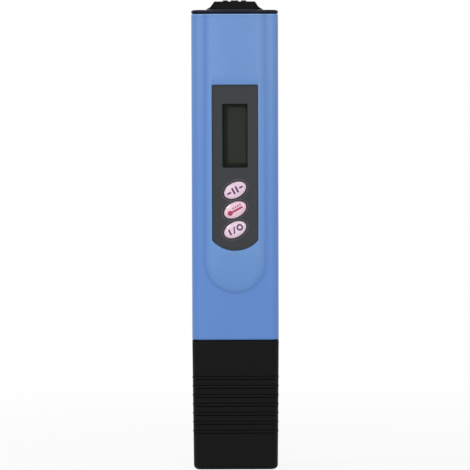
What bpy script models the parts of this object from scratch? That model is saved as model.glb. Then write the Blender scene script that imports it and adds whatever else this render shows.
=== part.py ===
"""Pocket water test pen: a flat two-shell case with a display and three oval keys, a pull-out battery
cover with a pocket clip, and a ribbed cap over a two-pin probe.

Metres, +Z up the pen, the front face towards -Y. The origin is the centre of the cap's flat end.
"""

import math

import bmesh
import bpy

MM = 0.001

# Case: a flat slab with rounded corners, made of a front and a rear shell
WIDTH = 28.5 * MM
DEPTH = 13.4 * MM
CORNER = 2.8 * MM
WALL = 1.4 * MM
CASE_BOTTOM = 42.9 * MM
CASE_TOP = 149.7 * MM
PARTING = 1.0 * MM
PARTING_GAP = 0.15 * MM
LIP_DEEP = 0.7 * MM
LIP_TALL = 0.9 * MM
CORNER_STEPS = 5
OVERRUN = 2.0 * MM
FRONT_FACE = -DEPTH / 2
BACK_FACE = DEPTH / 2
INNER_FRONT = FRONT_FACE + WALL
INNER_BACK = BACK_FACE - WALL
INNER_HALF = WIDTH / 2 - WALL

# Crown: the raised field on the front, straight sides and a round lower end
CROWN_HALF = 9.9 * MM
CROWN_END = 68.4 * MM
CROWN_ROUND = 4.0 * MM
CROWN_LIP = 0.05 * MM
CROWN_BOW = 0.25 * MM
CROWN_STEP = 0.55 * MM
CROWN_TURN_STEPS = 20

# Front panel, display window and keys
PANEL_HALF = 7.45 * MM
PANEL_TOP = 126.5 * MM
PANEL_SHOULDER = 75.75 * MM
PANEL_BOTTOM = 72.35 * MM
PANEL_CORNER = 0.5 * MM
PANEL_FACE = -7.25 * MM
PANEL_THICK = 0.6 * MM
PANEL_GAP = 0.12 * MM
POCKET_FLOOR = -6.5 * MM
VIEW_HALF = 4.12 * MM
VIEW_BOTTOM = 99.45 * MM
VIEW_TOP = 120.35 * MM
VIEW_CORNER = 0.3 * MM
WINDOW_BORDER = 0.6 * MM
WINDOW_FRONT = -6.45 * MM
WINDOW_THICK = 0.5 * MM
WINDOW_SEAT = -5.85 * MM
KEY_NAMES = ("hold", "temp", "power")
KEY_TOP = 92.1 * MM
KEY_PITCH = 6.47 * MM
KEY_LONG = 3.86 * MM
KEY_SHORT = 2.44 * MM
KEY_TILT = math.radians(28)
KEY_GAP = 0.18 * MM
KEY_RISE = 0.8 * MM
KEY_FLANGE = 0.42 * MM
KEY_FLANGE_FRONT = -5.0 * MM
KEY_FLANGE_BACK = -4.35 * MM
KEY_STEM = 1.1 * MM
KEY_STEM_END = -3.75 * MM
KEY_STEPS = 28

# Circuit board and what it carries
BOARD_HALF = 11.2 * MM
BOARD_BOTTOM = 61.0 * MM
BOARD_TOP = 122.1 * MM
BOARD_FRONT = -1.3 * MM
BOARD_BACK = -0.3 * MM
SEAT_GAP = 0.1 * MM
FINE_CORNER = 0.4 * MM
LCD_HALF = 5.8 * MM
LCD_BOTTOM = 97.8 * MM
LCD_TOP = 121.2 * MM
LCD_FRONT = -5.15 * MM
LCD_MIDDLE = -4.15 * MM
LCD_BACK = -3.25 * MM
LCD_LEDGE = 1.2 * MM
LCD_FRAME_WALL = 1.3 * MM
LCD_FRAME_FRONT = -4.95 * MM
ZEBRA_WIDE = 1.8 * MM
SWITCH_HALF = 2.2 * MM
SWITCH_FRONT = -3.0 * MM
PLUNGER_RADIUS = 1.0 * MM
PLUNGER_FRONT = -3.65 * MM
PLUNGER_BACK = -2.6 * MM
PLUNGER_WELL = -1.9 * MM
TRIMMER_Z = 84.0 * MM
TRIMMER_HALF = 3.2 * MM
TRIMMER_BACK = 2.2 * MM
ROTOR_RADIUS = 2.35 * MM
ROTOR_FRONT = 1.0 * MM
ROTOR_BACK = 2.8 * MM
ROTOR_SLOT = 0.7 * MM
ACCESS_HOLE = 2.5 * MM
CHIP_Z = 104.0 * MM
CHIP_RADIUS = 4.6 * MM
CHIP_TALL = 1.5 * MM
AMPLIFIER_Z = 73.0 * MM
AMPLIFIER_HALF = (4.35 * MM, 1.95 * MM)
AMPLIFIER_TALL = 1.5 * MM
AMPLIFIER_LEGS = 7
AMPLIFIER_PITCH = 1.27 * MM
POST_X = 9.2 * MM
POST_RADIUS = 1.4 * MM
POST_LEVELS = (66.5 * MM, 115.5 * MM)
LEDGE_TALL = 5.5 * MM

# Battery cover, tray, cells and clip
FLANGE_BOTTOM = 149.9 * MM
FLANGE_TOP = 151.1 * MM
FLANGE_EDGE = 0.3 * MM
PLUG_BOTTOM = 147.8 * MM
PLUG_GAP = 0.3 * MM
CELL_RADIUS = 5.8 * MM
CELL_THICK = 5.4 * MM
CELL_LOWER = 129.9 * MM
CELL_PITCH = 11.75 * MM
CELL_FRONT = -3.65 * MM
CELL_POCKET = 5.95 * MM
CELL_EDGE = 0.35 * MM
CELL_STEP = 0.6 * MM
CELL_CAP = 4.9 * MM
TRAY_HALF = 7.1 * MM
TRAY_FRONT = -5.1 * MM
TRAY_FLOOR = -4.1 * MM
TRAY_RIM = 1.3 * MM
LINK_HALF = 2.5 * MM
LINK_THICK = 0.25 * MM
LINK_CORNER = 0.8 * MM
CONTACT_X = 3.4 * MM
CONTACT_HALF = 1.6 * MM
CONTACT_THICK = 0.25 * MM
CONTACT_BOW = 1.2 * MM
CONTACT_FOOT = 9.0 * MM
CONTACT_RISE = 2.6 * MM
CONTACT_DIMPLE = 0.8 * MM
HUMP_TOP = 154.35 * MM
HUMP_TOP_HALF = 6.75 * MM
HUMP_KNEE = (7.35 * MM, 153.0 * MM)
HUMP_FOOT = (9.4 * MM, 151.3 * MM)
HUMP_FRONT = -3.2 * MM
HUMP_BROW = 0.8 * MM
RIDGE_TALL = 0.35 * MM
RIDGES = ((-3.0 * MM, 0.85 * MM), (0.0, 1.3 * MM), (3.0 * MM, 0.85 * MM))
CLIP_GAP = 2.5 * MM
CLIP_THICK = 1.8 * MM
CLIP_ROOT_HALF = 6.2 * MM
CLIP_TIP_HALF = 4.6 * MM
CLIP_TIP = 108.0 * MM
CLIP_BEND = 2.7 * MM
CLIP_INNER_BEND = 1.2 * MM
CLIP_DIP = 0.7 * MM
CLIP_HEEL = 1.5 * MM
CLIP_HEEL_UP = 5.0 * MM
CLIP_REST = 0.35 * MM
TONGUE_HALF = (4.0 * MM, 1.5 * MM)
TONGUE_BOTTOM = 148.8 * MM

# Probe and cap
INSERT_GAP = 0.25 * MM
INSERT_TOP = 58.0 * MM
NECK_WIDE = 24.6 * MM
NECK_DEEP = 9.7 * MM
NECK_CORNER = 1.5 * MM
NECK_TOP = 43.1 * MM
NECK_BOTTOM = 22.0 * MM
TIP_WIDE = 19.6 * MM
TIP_DEEP = 8.2 * MM
TIP_CORNER = 2.0 * MM
TIP_TOP = 20.0 * MM
TIP_BOTTOM = 8.0 * MM
TIP_EDGE = 0.6 * MM
WELL_WIDE = 13.8 * MM
WELL_DEEP = 6.4 * MM
WELL_ROOF = 18.0 * MM
WELL_NOTCH = 2.6 * MM
WELL_NOTCH_TOP = 12.5 * MM
WIRING_WIDE = 19.0 * MM
WIRING_DEEP = 6.0 * MM
WIRING_FLOOR = 26.0 * MM
SEAL_Z = 46.0 * MM
SEAL_RADIUS = 0.5 * MM
GROOVE_DEEP = 0.85 * MM
GROOVE_TALL = 1.4 * MM
KEEPER_Z = 51.5 * MM
KEEPER_TALL = 1.0 * MM
KEEPER_REACH = 0.8 * MM
PIN_X = 3.6 * MM
PIN_RADIUS = 0.8 * MM
PIN_TIP = 10.0 * MM
PIN_TOP = 29.4 * MM
PIN_BORE = 0.95 * MM
SENSOR_RADIUS = 1.1 * MM
SENSOR_BORE = 1.3 * MM
SENSOR_BOTTOM = 19.4 * MM
SENSOR_TOP = 24.4 * MM
LEAD_RADIUS = 0.45 * MM
LEAD_END = 65.0 * MM
CAP_TOP = 42.6 * MM
CAP_WIDE = (27.7 * MM, 28.5 * MM)
CAP_DEEP = (12.8 * MM, 13.4 * MM)
CAP_EDGE = 1.5 * MM
CAP_FLOOR = 2.0 * MM
CAP_WALL = 1.4 * MM
CAP_RIBS = 7
CAP_RIB_TOP = 30.36 * MM
CAP_RIB_PITCH = 2.96 * MM
CAP_RIB_HALF = 0.36 * MM
CAP_RIB_RISE = 0.1 * MM
CAP_NOTCH_WIDE = 0.3 * MM
CAP_NOTCH_DEEP = 0.35 * MM

# Colour (sRGB), roughness and metallic value of each finish
FINISHES = {
    "blue_plastic": ((104, 144, 206), 0.45, 0.0),
    "black_plastic": ((28, 28, 29), 0.5, 0.0),
    "gloss_black": ((24, 28, 40), 0.2, 0.0),
    "panel_grey": ((67, 67, 67), 0.6, 0.0),
    "clear_plastic": ((200, 205, 200), 0.08, 0.0),
    "lcd_glass": ((52, 57, 50), 0.2, 0.0),
    "key_lavender": ((228, 204, 220), 0.3, 0.0),
    "board_green": ((38, 92, 58), 0.5, 0.0),
    "dark_epoxy": ((22, 22, 24), 0.35, 0.0),
    "white_plastic": ((214, 214, 208), 0.5, 0.0),
    "rubber": ((46, 46, 48), 0.8, 0.0),
    "steel": ((188, 190, 192), 0.3, 1.0),
    "spring_brass": ((202, 172, 98), 0.3, 1.0),
    "red_lead": ((172, 40, 36), 0.5, 0.0),
    "black_lead": ((30, 30, 32), 0.5, 0.0),
    "trimmer_blue": ((36, 84, 168), 0.45, 0.0),
}

# Rotations that lay a flat outline on the top, front or side plane, and the axis that it is thick along
PLANES = {
    "top": ((0, 0, 0), 2),
    "front": ((math.pi / 2, 0, 0), 1),
    "side": ((math.pi / 2, 0, math.pi / 2), 0),
}


def clear_scene():
    for existing in list(bpy.data.objects):
        bpy.data.objects.remove(existing)


def new_collection(name):
    made = bpy.data.collections.new(name)
    bpy.context.scene.collection.children.link(made)
    return made


def linear(channel):
    value = channel / 255
    return value / 12.92 if value <= 0.04045 else ((value + 0.055) / 1.055) ** 2.4


def make_material(name):
    colour, roughness, metallic = FINISHES[name]
    made = bpy.data.materials.new(name)
    made.use_nodes = True
    shader = made.node_tree.nodes["Principled BSDF"]
    shader.inputs["Base Color"].default_value = (*(linear(channel) for channel in colour), 1)
    shader.inputs["Roughness"].default_value = roughness
    shader.inputs["Metallic"].default_value = metallic
    return made


clear_scene()
PARTS = new_collection("water_test_pen")
CUTTERS = new_collection("cutters")
MATERIALS = {name: make_material(name) for name in FINISHES}


# Outlines, as lists of points in a plane


def arc(centre, radius, start, end, steps):
    """Points along an arc, angles in degrees, both ends included."""
    angles = [math.radians(start + (end - start) * i / steps) for i in range(steps + 1)]
    return [(centre[0] + radius * math.cos(a), centre[1] + radius * math.sin(a)) for a in angles]


def slab_outline(width, depth, corner, centre=(0, 0), steps=CORNER_STEPS):
    """A rectangle with round corners, anticlockwise from its right-hand side."""
    x = width / 2 - corner
    y = depth / 2 - corner
    points = []
    for sign_x, sign_y, start in ((1, 1, 0), (-1, 1, 90), (-1, -1, 180), (1, -1, 270)):
        place = (centre[0] + sign_x * x, centre[1] + sign_y * y)
        points += arc(place, corner, start, start + 90, steps)
    return points


def oval(long, short, tilt=0.0, centre=(0, 0), steps=KEY_STEPS):
    points = []
    for i in range(steps):
        u = long * math.cos(2 * math.pi * i / steps)
        v = short * math.sin(2 * math.pi * i / steps)
        x = centre[0] + u * math.cos(tilt) - v * math.sin(tilt)
        y = centre[1] + u * math.sin(tilt) + v * math.cos(tilt)
        points.append((x, y))
    return points


def half_ring(outer_inset, inner_inset, end, side):
    """The front (side -1) or rear (side 1) half of a wall that follows the slab, cut off at y = end."""
    def half_outline(inset):
        x = WIDTH / 2 - CORNER
        y = DEPTH / 2 - CORNER
        right = arc((x, y), CORNER - inset, 0, 90, CORNER_STEPS)
        left = arc((-x, y), CORNER - inset, 90, 180, CORNER_STEPS)
        rim = WIDTH / 2 - inset
        return [(rim, end * side), *right, *left, (-rim, end * side)]

    outline = half_outline(outer_inset) + half_outline(inner_inset)[::-1]
    return [(x, y * side) for x, y in outline]


def crown_profile():
    """(distance from the middle, height) down the crown's shoulder, from its middle to its edge."""
    turns = [math.radians(angle) for angle in (90, 72, 54, 36, 18, 0)]
    shoulder = [(CROWN_HALF - CROWN_ROUND * (1 - math.cos(turn)), math.sin(turn)) for turn in turns]
    stations = [(0.0, 1.0), (CROWN_HALF * 0.4, 1.0), *shoulder]
    return [
        (x, CROWN_LIP + CROWN_BOW * (1 - (x / CROWN_HALF) ** 2) + CROWN_STEP * step)
        for x, step in stations
    ]


def crowned_outline(inset):
    """The slab's outline with the crown on its front, drawn in by an inset."""
    plain = slab_outline(WIDTH - 2 * inset, DEPTH - 2 * inset, CORNER - inset)
    rear_and_left = plain[: 3 * (CORNER_STEPS + 1)]
    front_right = plain[3 * (CORNER_STEPS + 1):]
    shrink = 1 - inset / CROWN_HALF
    rise = [(x * shrink, FRONT_FACE + inset - height + CROWN_LIP) for x, height in crown_profile()]
    left_to_middle = [(-x, y) for x, y in rise[::-1]]
    return rear_and_left + left_to_middle + rise[1:] + front_right


# Solids


def new_object(name, bm):
    bmesh.ops.recalc_face_normals(bm, faces=bm.faces)
    mesh = bpy.data.meshes.new(name)
    bm.to_mesh(mesh)
    bm.free()
    return bpy.data.objects.new(name, mesh)


def mesh_from_curve(drawn):
    """The curve's filled outline as a closed mesh in the same place."""
    bpy.context.scene.collection.objects.link(drawn)
    bpy.context.view_layer.update()
    evaluated = drawn.evaluated_get(bpy.context.evaluated_depsgraph_get())
    bm = bmesh.new()
    loose = bpy.data.meshes.new_from_object(evaluated)
    bm.from_mesh(loose)
    bpy.data.meshes.remove(loose)
    bmesh.ops.remove_doubles(bm, verts=bm.verts, dist=1e-6)
    bmesh.ops.dissolve_limit(bm, angle_limit=math.radians(0.1), verts=bm.verts, edges=bm.edges)
    name = drawn.name
    place = drawn.matrix_world.copy()
    curve = drawn.data
    bpy.data.objects.remove(drawn)
    bpy.data.curves.remove(curve)
    solid = new_object(name, bm)
    solid.matrix_world = place
    return solid


def plate(name, loops, plane, start, end):
    """A plate between two levels: the first loop is its rim and the others are holes."""
    curve = bpy.data.curves.new(name, "CURVE")
    curve.dimensions = "2D"
    curve.fill_mode = "BOTH"
    curve.extrude = (end - start) / 2
    for loop in loops:
        spline = curve.splines.new("POLY")
        spline.points.add(len(loop) - 1)
        for point, (u, v) in zip(spline.points, loop):
            point.co = (u, v, 0, 1)
        spline.use_cyclic_u = True
    rotation, axis = PLANES[plane]
    drawn = bpy.data.objects.new(name, curve)
    drawn.rotation_euler = rotation
    drawn.location[axis] = (start + end) / 2
    return mesh_from_curve(drawn)


def box(name, low, high):
    bm = bmesh.new()
    bmesh.ops.create_cube(bm, size=1)
    bmesh.ops.scale(bm, verts=bm.verts, vec=[b - a for a, b in zip(low, high)])
    bmesh.ops.translate(bm, verts=bm.verts, vec=[(a + b) / 2 for a, b in zip(low, high)])
    return new_object(name, bm)


def rod(name, radius, plane, centre, start, end, steps=24):
    return plate(name, [oval(radius, radius, 0, centre, steps)], plane, start, end)


def loft(name, rings):
    """A closed skin over a stack of rings with the same number of points, filled at both ends."""
    bm = bmesh.new()
    loops = []
    for ring in rings:
        verts = [bm.verts.new(point) for point in ring]
        edges = [bm.edges.new((verts[i - 1], verts[i])) for i in range(len(verts))]
        loops.append((verts, edges))
    for (_, lower), (_, upper) in zip(loops, loops[1:]):
        bmesh.ops.bridge_loops(bm, edges=lower + upper)
    for verts, _ in (loops[0], loops[-1]):
        bmesh.ops.contextual_create(bm, geom=verts)
    return new_object(name, bm)


def level_ring(outline, z):
    return [(x, y, z) for x, y in outline]


def turned(name, profile, steps):
    """A solid of revolution about its own Z, from a profile that runs from the top to the bottom."""
    bm = bmesh.new()
    verts = [bm.verts.new((radius, 0, z)) for radius, z in profile]
    for upper, lower in zip(verts, verts[1:]):
        bm.edges.new((upper, lower))
    mesh = bpy.data.meshes.new(name)
    bm.to_mesh(mesh)
    bm.free()
    solid = bpy.data.objects.new(name, mesh)
    screw = solid.modifiers.new("turn", "SCREW")
    screw.steps = steps
    screw.render_steps = steps
    screw.use_merge_vertices = True
    screw.merge_threshold = 1e-6
    screw.use_smooth_shade = True
    return solid


def tube(name, points, radius, closed=False):
    curve = bpy.data.curves.new(name, "CURVE")
    curve.dimensions = "3D"
    curve.bevel_depth = radius
    curve.bevel_resolution = 2
    curve.use_fill_caps = not closed
    spline = curve.splines.new("POLY")
    spline.points.add(len(points) - 1)
    for point, place in zip(spline.points, points):
        point.co = (*place, 1)
    spline.use_cyclic_u = closed
    return bpy.data.objects.new(name, curve)


def combine(target, tool, operation):
    modifier = target.modifiers.new(f"{operation.lower()}_{tool.name}", "BOOLEAN")
    modifier.operation = operation
    modifier.object = tool
    tool.hide_render = True
    tool.display_type = "WIRE"
    CUTTERS.objects.link(tool)


def cut(target, *tools):
    for tool in tools:
        combine(target, tool, "DIFFERENCE")


def join(target, *tools):
    for tool in tools:
        combine(target, tool, "UNION")


def keep(solid, finish, carrier=None):
    """Takes a finished piece into the assembly, with its finish and, if it moves, its carrier."""
    PARTS.objects.link(solid)
    solid.data.materials.append(MATERIALS[finish])
    if solid.type == "MESH":
        solid.data.shade_smooth()
        solid.data.set_sharp_from_angle(angle=math.radians(32))
    if carrier:
        solid.parent = carrier
        solid.matrix_parent_inverse = carrier.matrix_world.inverted()
    return solid


def make_carrier(name, place):
    """An empty on a joint's axis, which carries what moves on it."""
    carrier = bpy.data.objects.new(name, None)
    carrier.empty_display_size = 5 * MM
    carrier.location = place
    PARTS.objects.link(carrier)
    bpy.context.view_layer.update()
    return carrier


# Case


def make_crown():
    """The raised field: its shoulder turned round the lower end, drawn up to the top and closed behind."""
    bm = bmesh.new()
    verts = [bm.verts.new((x, FRONT_FACE - height, CROWN_END)) for x, height in crown_profile()]
    edges = [bm.edges.new(pair) for pair in zip(verts, verts[1:])]
    bmesh.ops.spin(
        bm,
        geom=verts + edges,
        cent=(0, 0, CROWN_END),
        axis=(0, 1, 0),
        angle=math.pi,
        steps=CROWN_TURN_STEPS,
    )
    bmesh.ops.remove_doubles(bm, verts=bm.verts, dist=1e-7)
    middle = [
        edge
        for edge in bm.edges
        if edge.is_boundary and all(abs(vert.co.z - CROWN_END) < 1e-7 for vert in edge.verts)
    ]
    drawn = bmesh.ops.extrude_edge_only(bm, edges=middle)["geom"]
    raised = [item for item in drawn if isinstance(item, bmesh.types.BMVert)]
    bmesh.ops.translate(bm, verts=raised, vec=(0, 0, CASE_TOP + OVERRUN - CROWN_END))
    rim = [edge for edge in bm.edges if edge.is_boundary]
    drawn = bmesh.ops.extrude_edge_only(bm, edges=rim)["geom"]
    for vert in (item for item in drawn if isinstance(item, bmesh.types.BMVert)):
        vert.co.y = FRONT_FACE + WALL / 2
    bmesh.ops.holes_fill(bm, edges=[edge for edge in bm.edges if edge.is_boundary])
    return new_object("crown", bm)


def panel_outline(grow):
    """Straight sides, small top corners and a lower edge that is one shallow arc."""
    half = PANEL_HALF + grow
    sag = PANEL_SHOULDER - PANEL_BOTTOM
    radius = (PANEL_HALF**2 + sag**2) / (2 * sag)
    spread = math.degrees(math.asin(half / (radius + grow)))
    lower = arc((0, PANEL_BOTTOM + radius), radius + grow, 270 - spread, 270 + spread, 14)
    inner = half - PANEL_CORNER
    top = PANEL_TOP + grow - PANEL_CORNER
    right = arc((inner, top), PANEL_CORNER, 0, 90, 4)
    left = arc((-inner, top), PANEL_CORNER, 90, 180, 4)
    return lower + right + left


def view_outline(grow):
    height = VIEW_TOP - VIEW_BOTTOM + 2 * grow
    centre = (0, (VIEW_TOP + VIEW_BOTTOM) / 2)
    return slab_outline(2 * (VIEW_HALF + grow), height, VIEW_CORNER, centre, 3)


def key_levels():
    return {name: KEY_TOP - KEY_PITCH * i for i, name in enumerate(KEY_NAMES)}


def keeper_ring(side, end):
    """The rib inside a shell that holds the probe in its groove."""
    outline = half_ring(WALL / 2, WALL + KEEPER_REACH, end, side)
    return plate("keeper", [outline], "top", KEEPER_Z - KEEPER_TALL / 2, KEEPER_Z + KEEPER_TALL / 2)


def make_front_shell():
    section = half_ring(0, WALL, PARTING, -1)
    shell = plate("front_shell", [section], "top", CASE_BOTTOM, CASE_TOP + OVERRUN)
    join(shell, make_crown())
    far = WIDTH
    cut(shell, box("top_trim", (-far, -far, CASE_TOP), (far, far, CASE_TOP + 2 * OVERRUN)))
    lip = WIDTH / 2 - LIP_DEEP
    rebate = (PARTING - LIP_TALL, PARTING + OVERRUN)
    cut(shell, box("lip_rebate", (-lip, rebate[0], 0), (lip, rebate[1], CASE_TOP + OVERRUN)))
    proud = FRONT_FACE - OVERRUN
    through = INNER_FRONT + OVERRUN
    cut(shell, plate("panel_pocket", [panel_outline(PANEL_GAP)], "front", proud, POCKET_FLOOR))
    cut(shell, plate("window_seat", [view_outline(WINDOW_BORDER + PANEL_GAP)], "front", proud, WINDOW_SEAT))
    cut(shell, plate("window_opening", [view_outline(0)], "front", proud, through))
    for name, level in key_levels().items():
        hole = oval(KEY_LONG + KEY_GAP, KEY_SHORT + KEY_GAP, KEY_TILT, (0, level))
        cut(shell, plate(f"key_hole_{name}", [hole], "front", proud, through))
    join(shell, keeper_ring(-1, PARTING - 2 * LIP_TALL))
    for side in (-1, 1):
        for level in POST_LEVELS:
            reach = sorted((side * (BOARD_HALF - WALL / 2), side * (INNER_HALF + WALL / 2)))
            low = (reach[0], BOARD_FRONT - 2 * WALL, level - LEDGE_TALL / 2)
            high = (reach[1], BOARD_FRONT - SEAT_GAP, level + LEDGE_TALL / 2)
            join(shell, box("board_ledge", low, high))
    keep(shell, "blue_plastic")


def make_rear_shell():
    start = PARTING + PARTING_GAP
    shell = plate("rear_shell", [half_ring(0, WALL, start, 1)], "top", CASE_BOTTOM, CASE_TOP)
    for side in (-1, 1):
        tongue = sorted((side * (INNER_HALF + SEAT_GAP / 2), side * (WIDTH / 2 - LIP_DEEP - SEAT_GAP)))
        low = (tongue[0], PARTING - LIP_TALL + PARTING_GAP, CASE_BOTTOM + WALL)
        high = (tongue[1], start + 0.6 * LIP_TALL, CASE_TOP - WALL)
        join(shell, box("lip_tongue", low, high))
        for level in POST_LEVELS:
            centre = (side * POST_X, level)
            post = rod("post", POST_RADIUS, "front", centre, BOARD_BACK + SEAT_GAP, INNER_BACK + WALL / 2, 16)
            join(shell, post)
    join(shell, keeper_ring(1, start + LIP_TALL))
    hole = rod("access_hole", ACCESS_HOLE, "front", (0, TRIMMER_Z), INNER_BACK - WALL, BACK_FACE + WALL, 32)
    cut(shell, hole)
    keep(shell, "blue_plastic")


def make_front_panel():
    keys = [
        oval(KEY_LONG + KEY_GAP, KEY_SHORT + KEY_GAP, KEY_TILT, (0, level)) for level in key_levels().values()
    ]
    loops = [panel_outline(0), view_outline(0), *keys]
    keep(plate("front_panel", loops, "front", PANEL_FACE, PANEL_FACE + PANEL_THICK), "panel_grey")


def make_display_window():
    rim = view_outline(WINDOW_BORDER)
    window = plate("display_window", [rim], "front", WINDOW_FRONT, WINDOW_FRONT + WINDOW_THICK)
    keep(window, "clear_plastic")


# Keys and the board behind them


def make_key(name, level):
    """A domed oval key with a keeper flange and a stem, and the switch plunger that it pushes."""
    carrier = make_carrier(f"key_axis_{name}", (0, PANEL_FACE, level))

    def ring(long, short, y):
        return [(x, y - PANEL_FACE, z) for x, z in oval(long, short, KEY_TILT)]

    flange = (KEY_LONG + KEY_FLANGE, KEY_SHORT + KEY_FLANGE)
    rings = [
        ring(KEY_STEM, KEY_STEM, KEY_STEM_END),
        ring(KEY_STEM, KEY_STEM, KEY_FLANGE_BACK),
        ring(*flange, KEY_FLANGE_BACK),
        ring(*flange, KEY_FLANGE_FRONT),
        ring(KEY_LONG, KEY_SHORT, KEY_FLANGE_FRONT),
    ]
    for angle in (0, 20, 40, 57, 72, 84):
        turn = math.radians(angle)
        shrink = math.cos(turn) ** 0.8
        rings.append(ring(KEY_LONG * shrink, KEY_SHORT * shrink, PANEL_FACE - KEY_RISE * math.sin(turn)))
    key = loft(f"button_{name}", rings)
    key.location = carrier.location
    keep(key, "key_lavender", carrier)
    plunger = rod(f"plunger_{name}", PLUNGER_RADIUS, "front", (0, level), PLUNGER_FRONT, PLUNGER_BACK, 16)
    keep(plunger, "dark_epoxy", carrier)


def make_switch(name, level):
    body = slab_outline(2 * SWITCH_HALF, 2 * SWITCH_HALF, FINE_CORNER, (0, level), 2)
    switch = plate(f"switch_{name}", [body], "front", SWITCH_FRONT, BOARD_FRONT - SEAT_GAP)
    well = PLUNGER_RADIUS + 2 * SEAT_GAP
    cut(switch, rod("plunger_well", well, "front", (0, level), SWITCH_FRONT - WALL, PLUNGER_WELL, 16))
    keep(switch, "steel")


def make_circuit_board():
    outline = slab_outline(
        2 * BOARD_HALF, BOARD_TOP - BOARD_BOTTOM, WALL, (0, (BOARD_TOP + BOARD_BOTTOM) / 2), 3
    )
    keep(plate("circuit_board", [outline], "front", BOARD_FRONT, BOARD_BACK), "board_green")


def make_lcd():
    """Two glass plates, the front one narrower so that a ledge of contacts is left, in a frame."""
    section = [
        (-LCD_HALF, LCD_FRONT),
        (LCD_HALF - LCD_LEDGE, LCD_FRONT),
        (LCD_HALF - LCD_LEDGE, LCD_MIDDLE),
        (LCD_HALF, LCD_MIDDLE),
        (LCD_HALF, LCD_BACK),
        (-LCD_HALF, LCD_BACK),
    ]
    keep(plate("lcd_panel", [section], "top", LCD_BOTTOM, LCD_TOP), "lcd_glass")
    centre = (0, (LCD_TOP + LCD_BOTTOM) / 2)
    tall = LCD_TOP - LCD_BOTTOM
    opening = slab_outline(2 * (LCD_HALF + SEAT_GAP), tall + 2 * SEAT_GAP, FINE_CORNER, centre, 2)
    wall = LCD_FRAME_WALL
    rim = slab_outline(2 * (LCD_HALF + wall), tall + 1.2 * wall, FINE_CORNER, centre, 2)
    frame = plate("lcd_frame", [rim, opening], "front", LCD_FRAME_FRONT, BOARD_FRONT - SEAT_GAP)
    keep(frame, "white_plastic")
    for name, side in (("left", -1), ("right", 1)):
        reach = sorted((side * (LCD_HALF - SEAT_GAP), side * (LCD_HALF - SEAT_GAP - ZEBRA_WIDE)))
        low = (reach[0], LCD_BACK + SEAT_GAP, LCD_BOTTOM + wall / 2)
        high = (reach[1], BOARD_FRONT - SEAT_GAP, LCD_TOP - wall / 2)
        keep(box(f"zebra_strip_{name}", low, high), "rubber")


def make_chips():
    """The controller under its drop of epoxy, and the probe amplifier with two rows of legs."""
    turns = [math.radians(angle) for angle in (90, 70, 50, 30, 12)]
    dome = [(CHIP_RADIUS * math.cos(turn), CHIP_TALL * math.sin(turn)) for turn in turns]
    chip = turned("controller_chip", [(0, CHIP_TALL), *dome[1:], (CHIP_RADIUS, 0), (0, 0)], 28)
    chip.rotation_euler = (-math.pi / 2, 0, 0)
    chip.location = (0, BOARD_BACK + SEAT_GAP, CHIP_Z)
    keep(chip, "dark_epoxy")
    half_x, half_z = AMPLIFIER_HALF
    foot = BOARD_BACK + SEAT_GAP
    top = foot + AMPLIFIER_TALL
    body = slab_outline(2 * half_x, 2 * half_z, FINE_CORNER, (0, AMPLIFIER_Z), 2)
    amplifier = plate("amplifier_chip", [body], "front", foot + SEAT_GAP, top)
    leg_half = AMPLIFIER_PITCH * 0.16
    for i in range(AMPLIFIER_LEGS):
        x = (i - (AMPLIFIER_LEGS - 1) / 2) * AMPLIFIER_PITCH
        low = (x - leg_half, foot, AMPLIFIER_Z - 1.5 * half_z)
        high = (x + leg_half, foot + AMPLIFIER_TALL / 2, AMPLIFIER_Z + 1.5 * half_z)
        join(amplifier, box("leg_pair", low, high))
    keep(amplifier, "dark_epoxy")


def make_trimmer():
    """The calibration trimmer, its rotor facing the hole in the rear shell."""
    side = 2 * TRIMMER_HALF
    outline = slab_outline(side, side, FINE_CORNER, (0, TRIMMER_Z), 2)
    body = plate("trimmer_body", [outline], "front", BOARD_BACK + SEAT_GAP, TRIMMER_BACK)
    recess = ROTOR_RADIUS + 2 * SEAT_GAP
    cut(body, rod("rotor_recess", recess, "front", (0, TRIMMER_Z), ROTOR_FRONT - SEAT_GAP, ROTOR_BACK, 28))
    keep(body, "trimmer_blue")
    carrier = make_carrier("trimmer_axis", (0, ROTOR_BACK, TRIMMER_Z))
    rotor = rod("trimmer_rotor", ROTOR_RADIUS, "front", (0, TRIMMER_Z), ROTOR_FRONT, ROTOR_BACK, 28)
    long, half = 0.75 * ROTOR_RADIUS, ROTOR_SLOT / 2
    for half_x, half_z in ((long, half), (half, long)):
        low = (-half_x, ROTOR_BACK - ROTOR_SLOT, TRIMMER_Z - half_z)
        high = (half_x, ROTOR_BACK + WALL, TRIMMER_Z + half_z)
        cut(rotor, box("slot", low, high))
    keep(rotor, "white_plastic", carrier)


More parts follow.
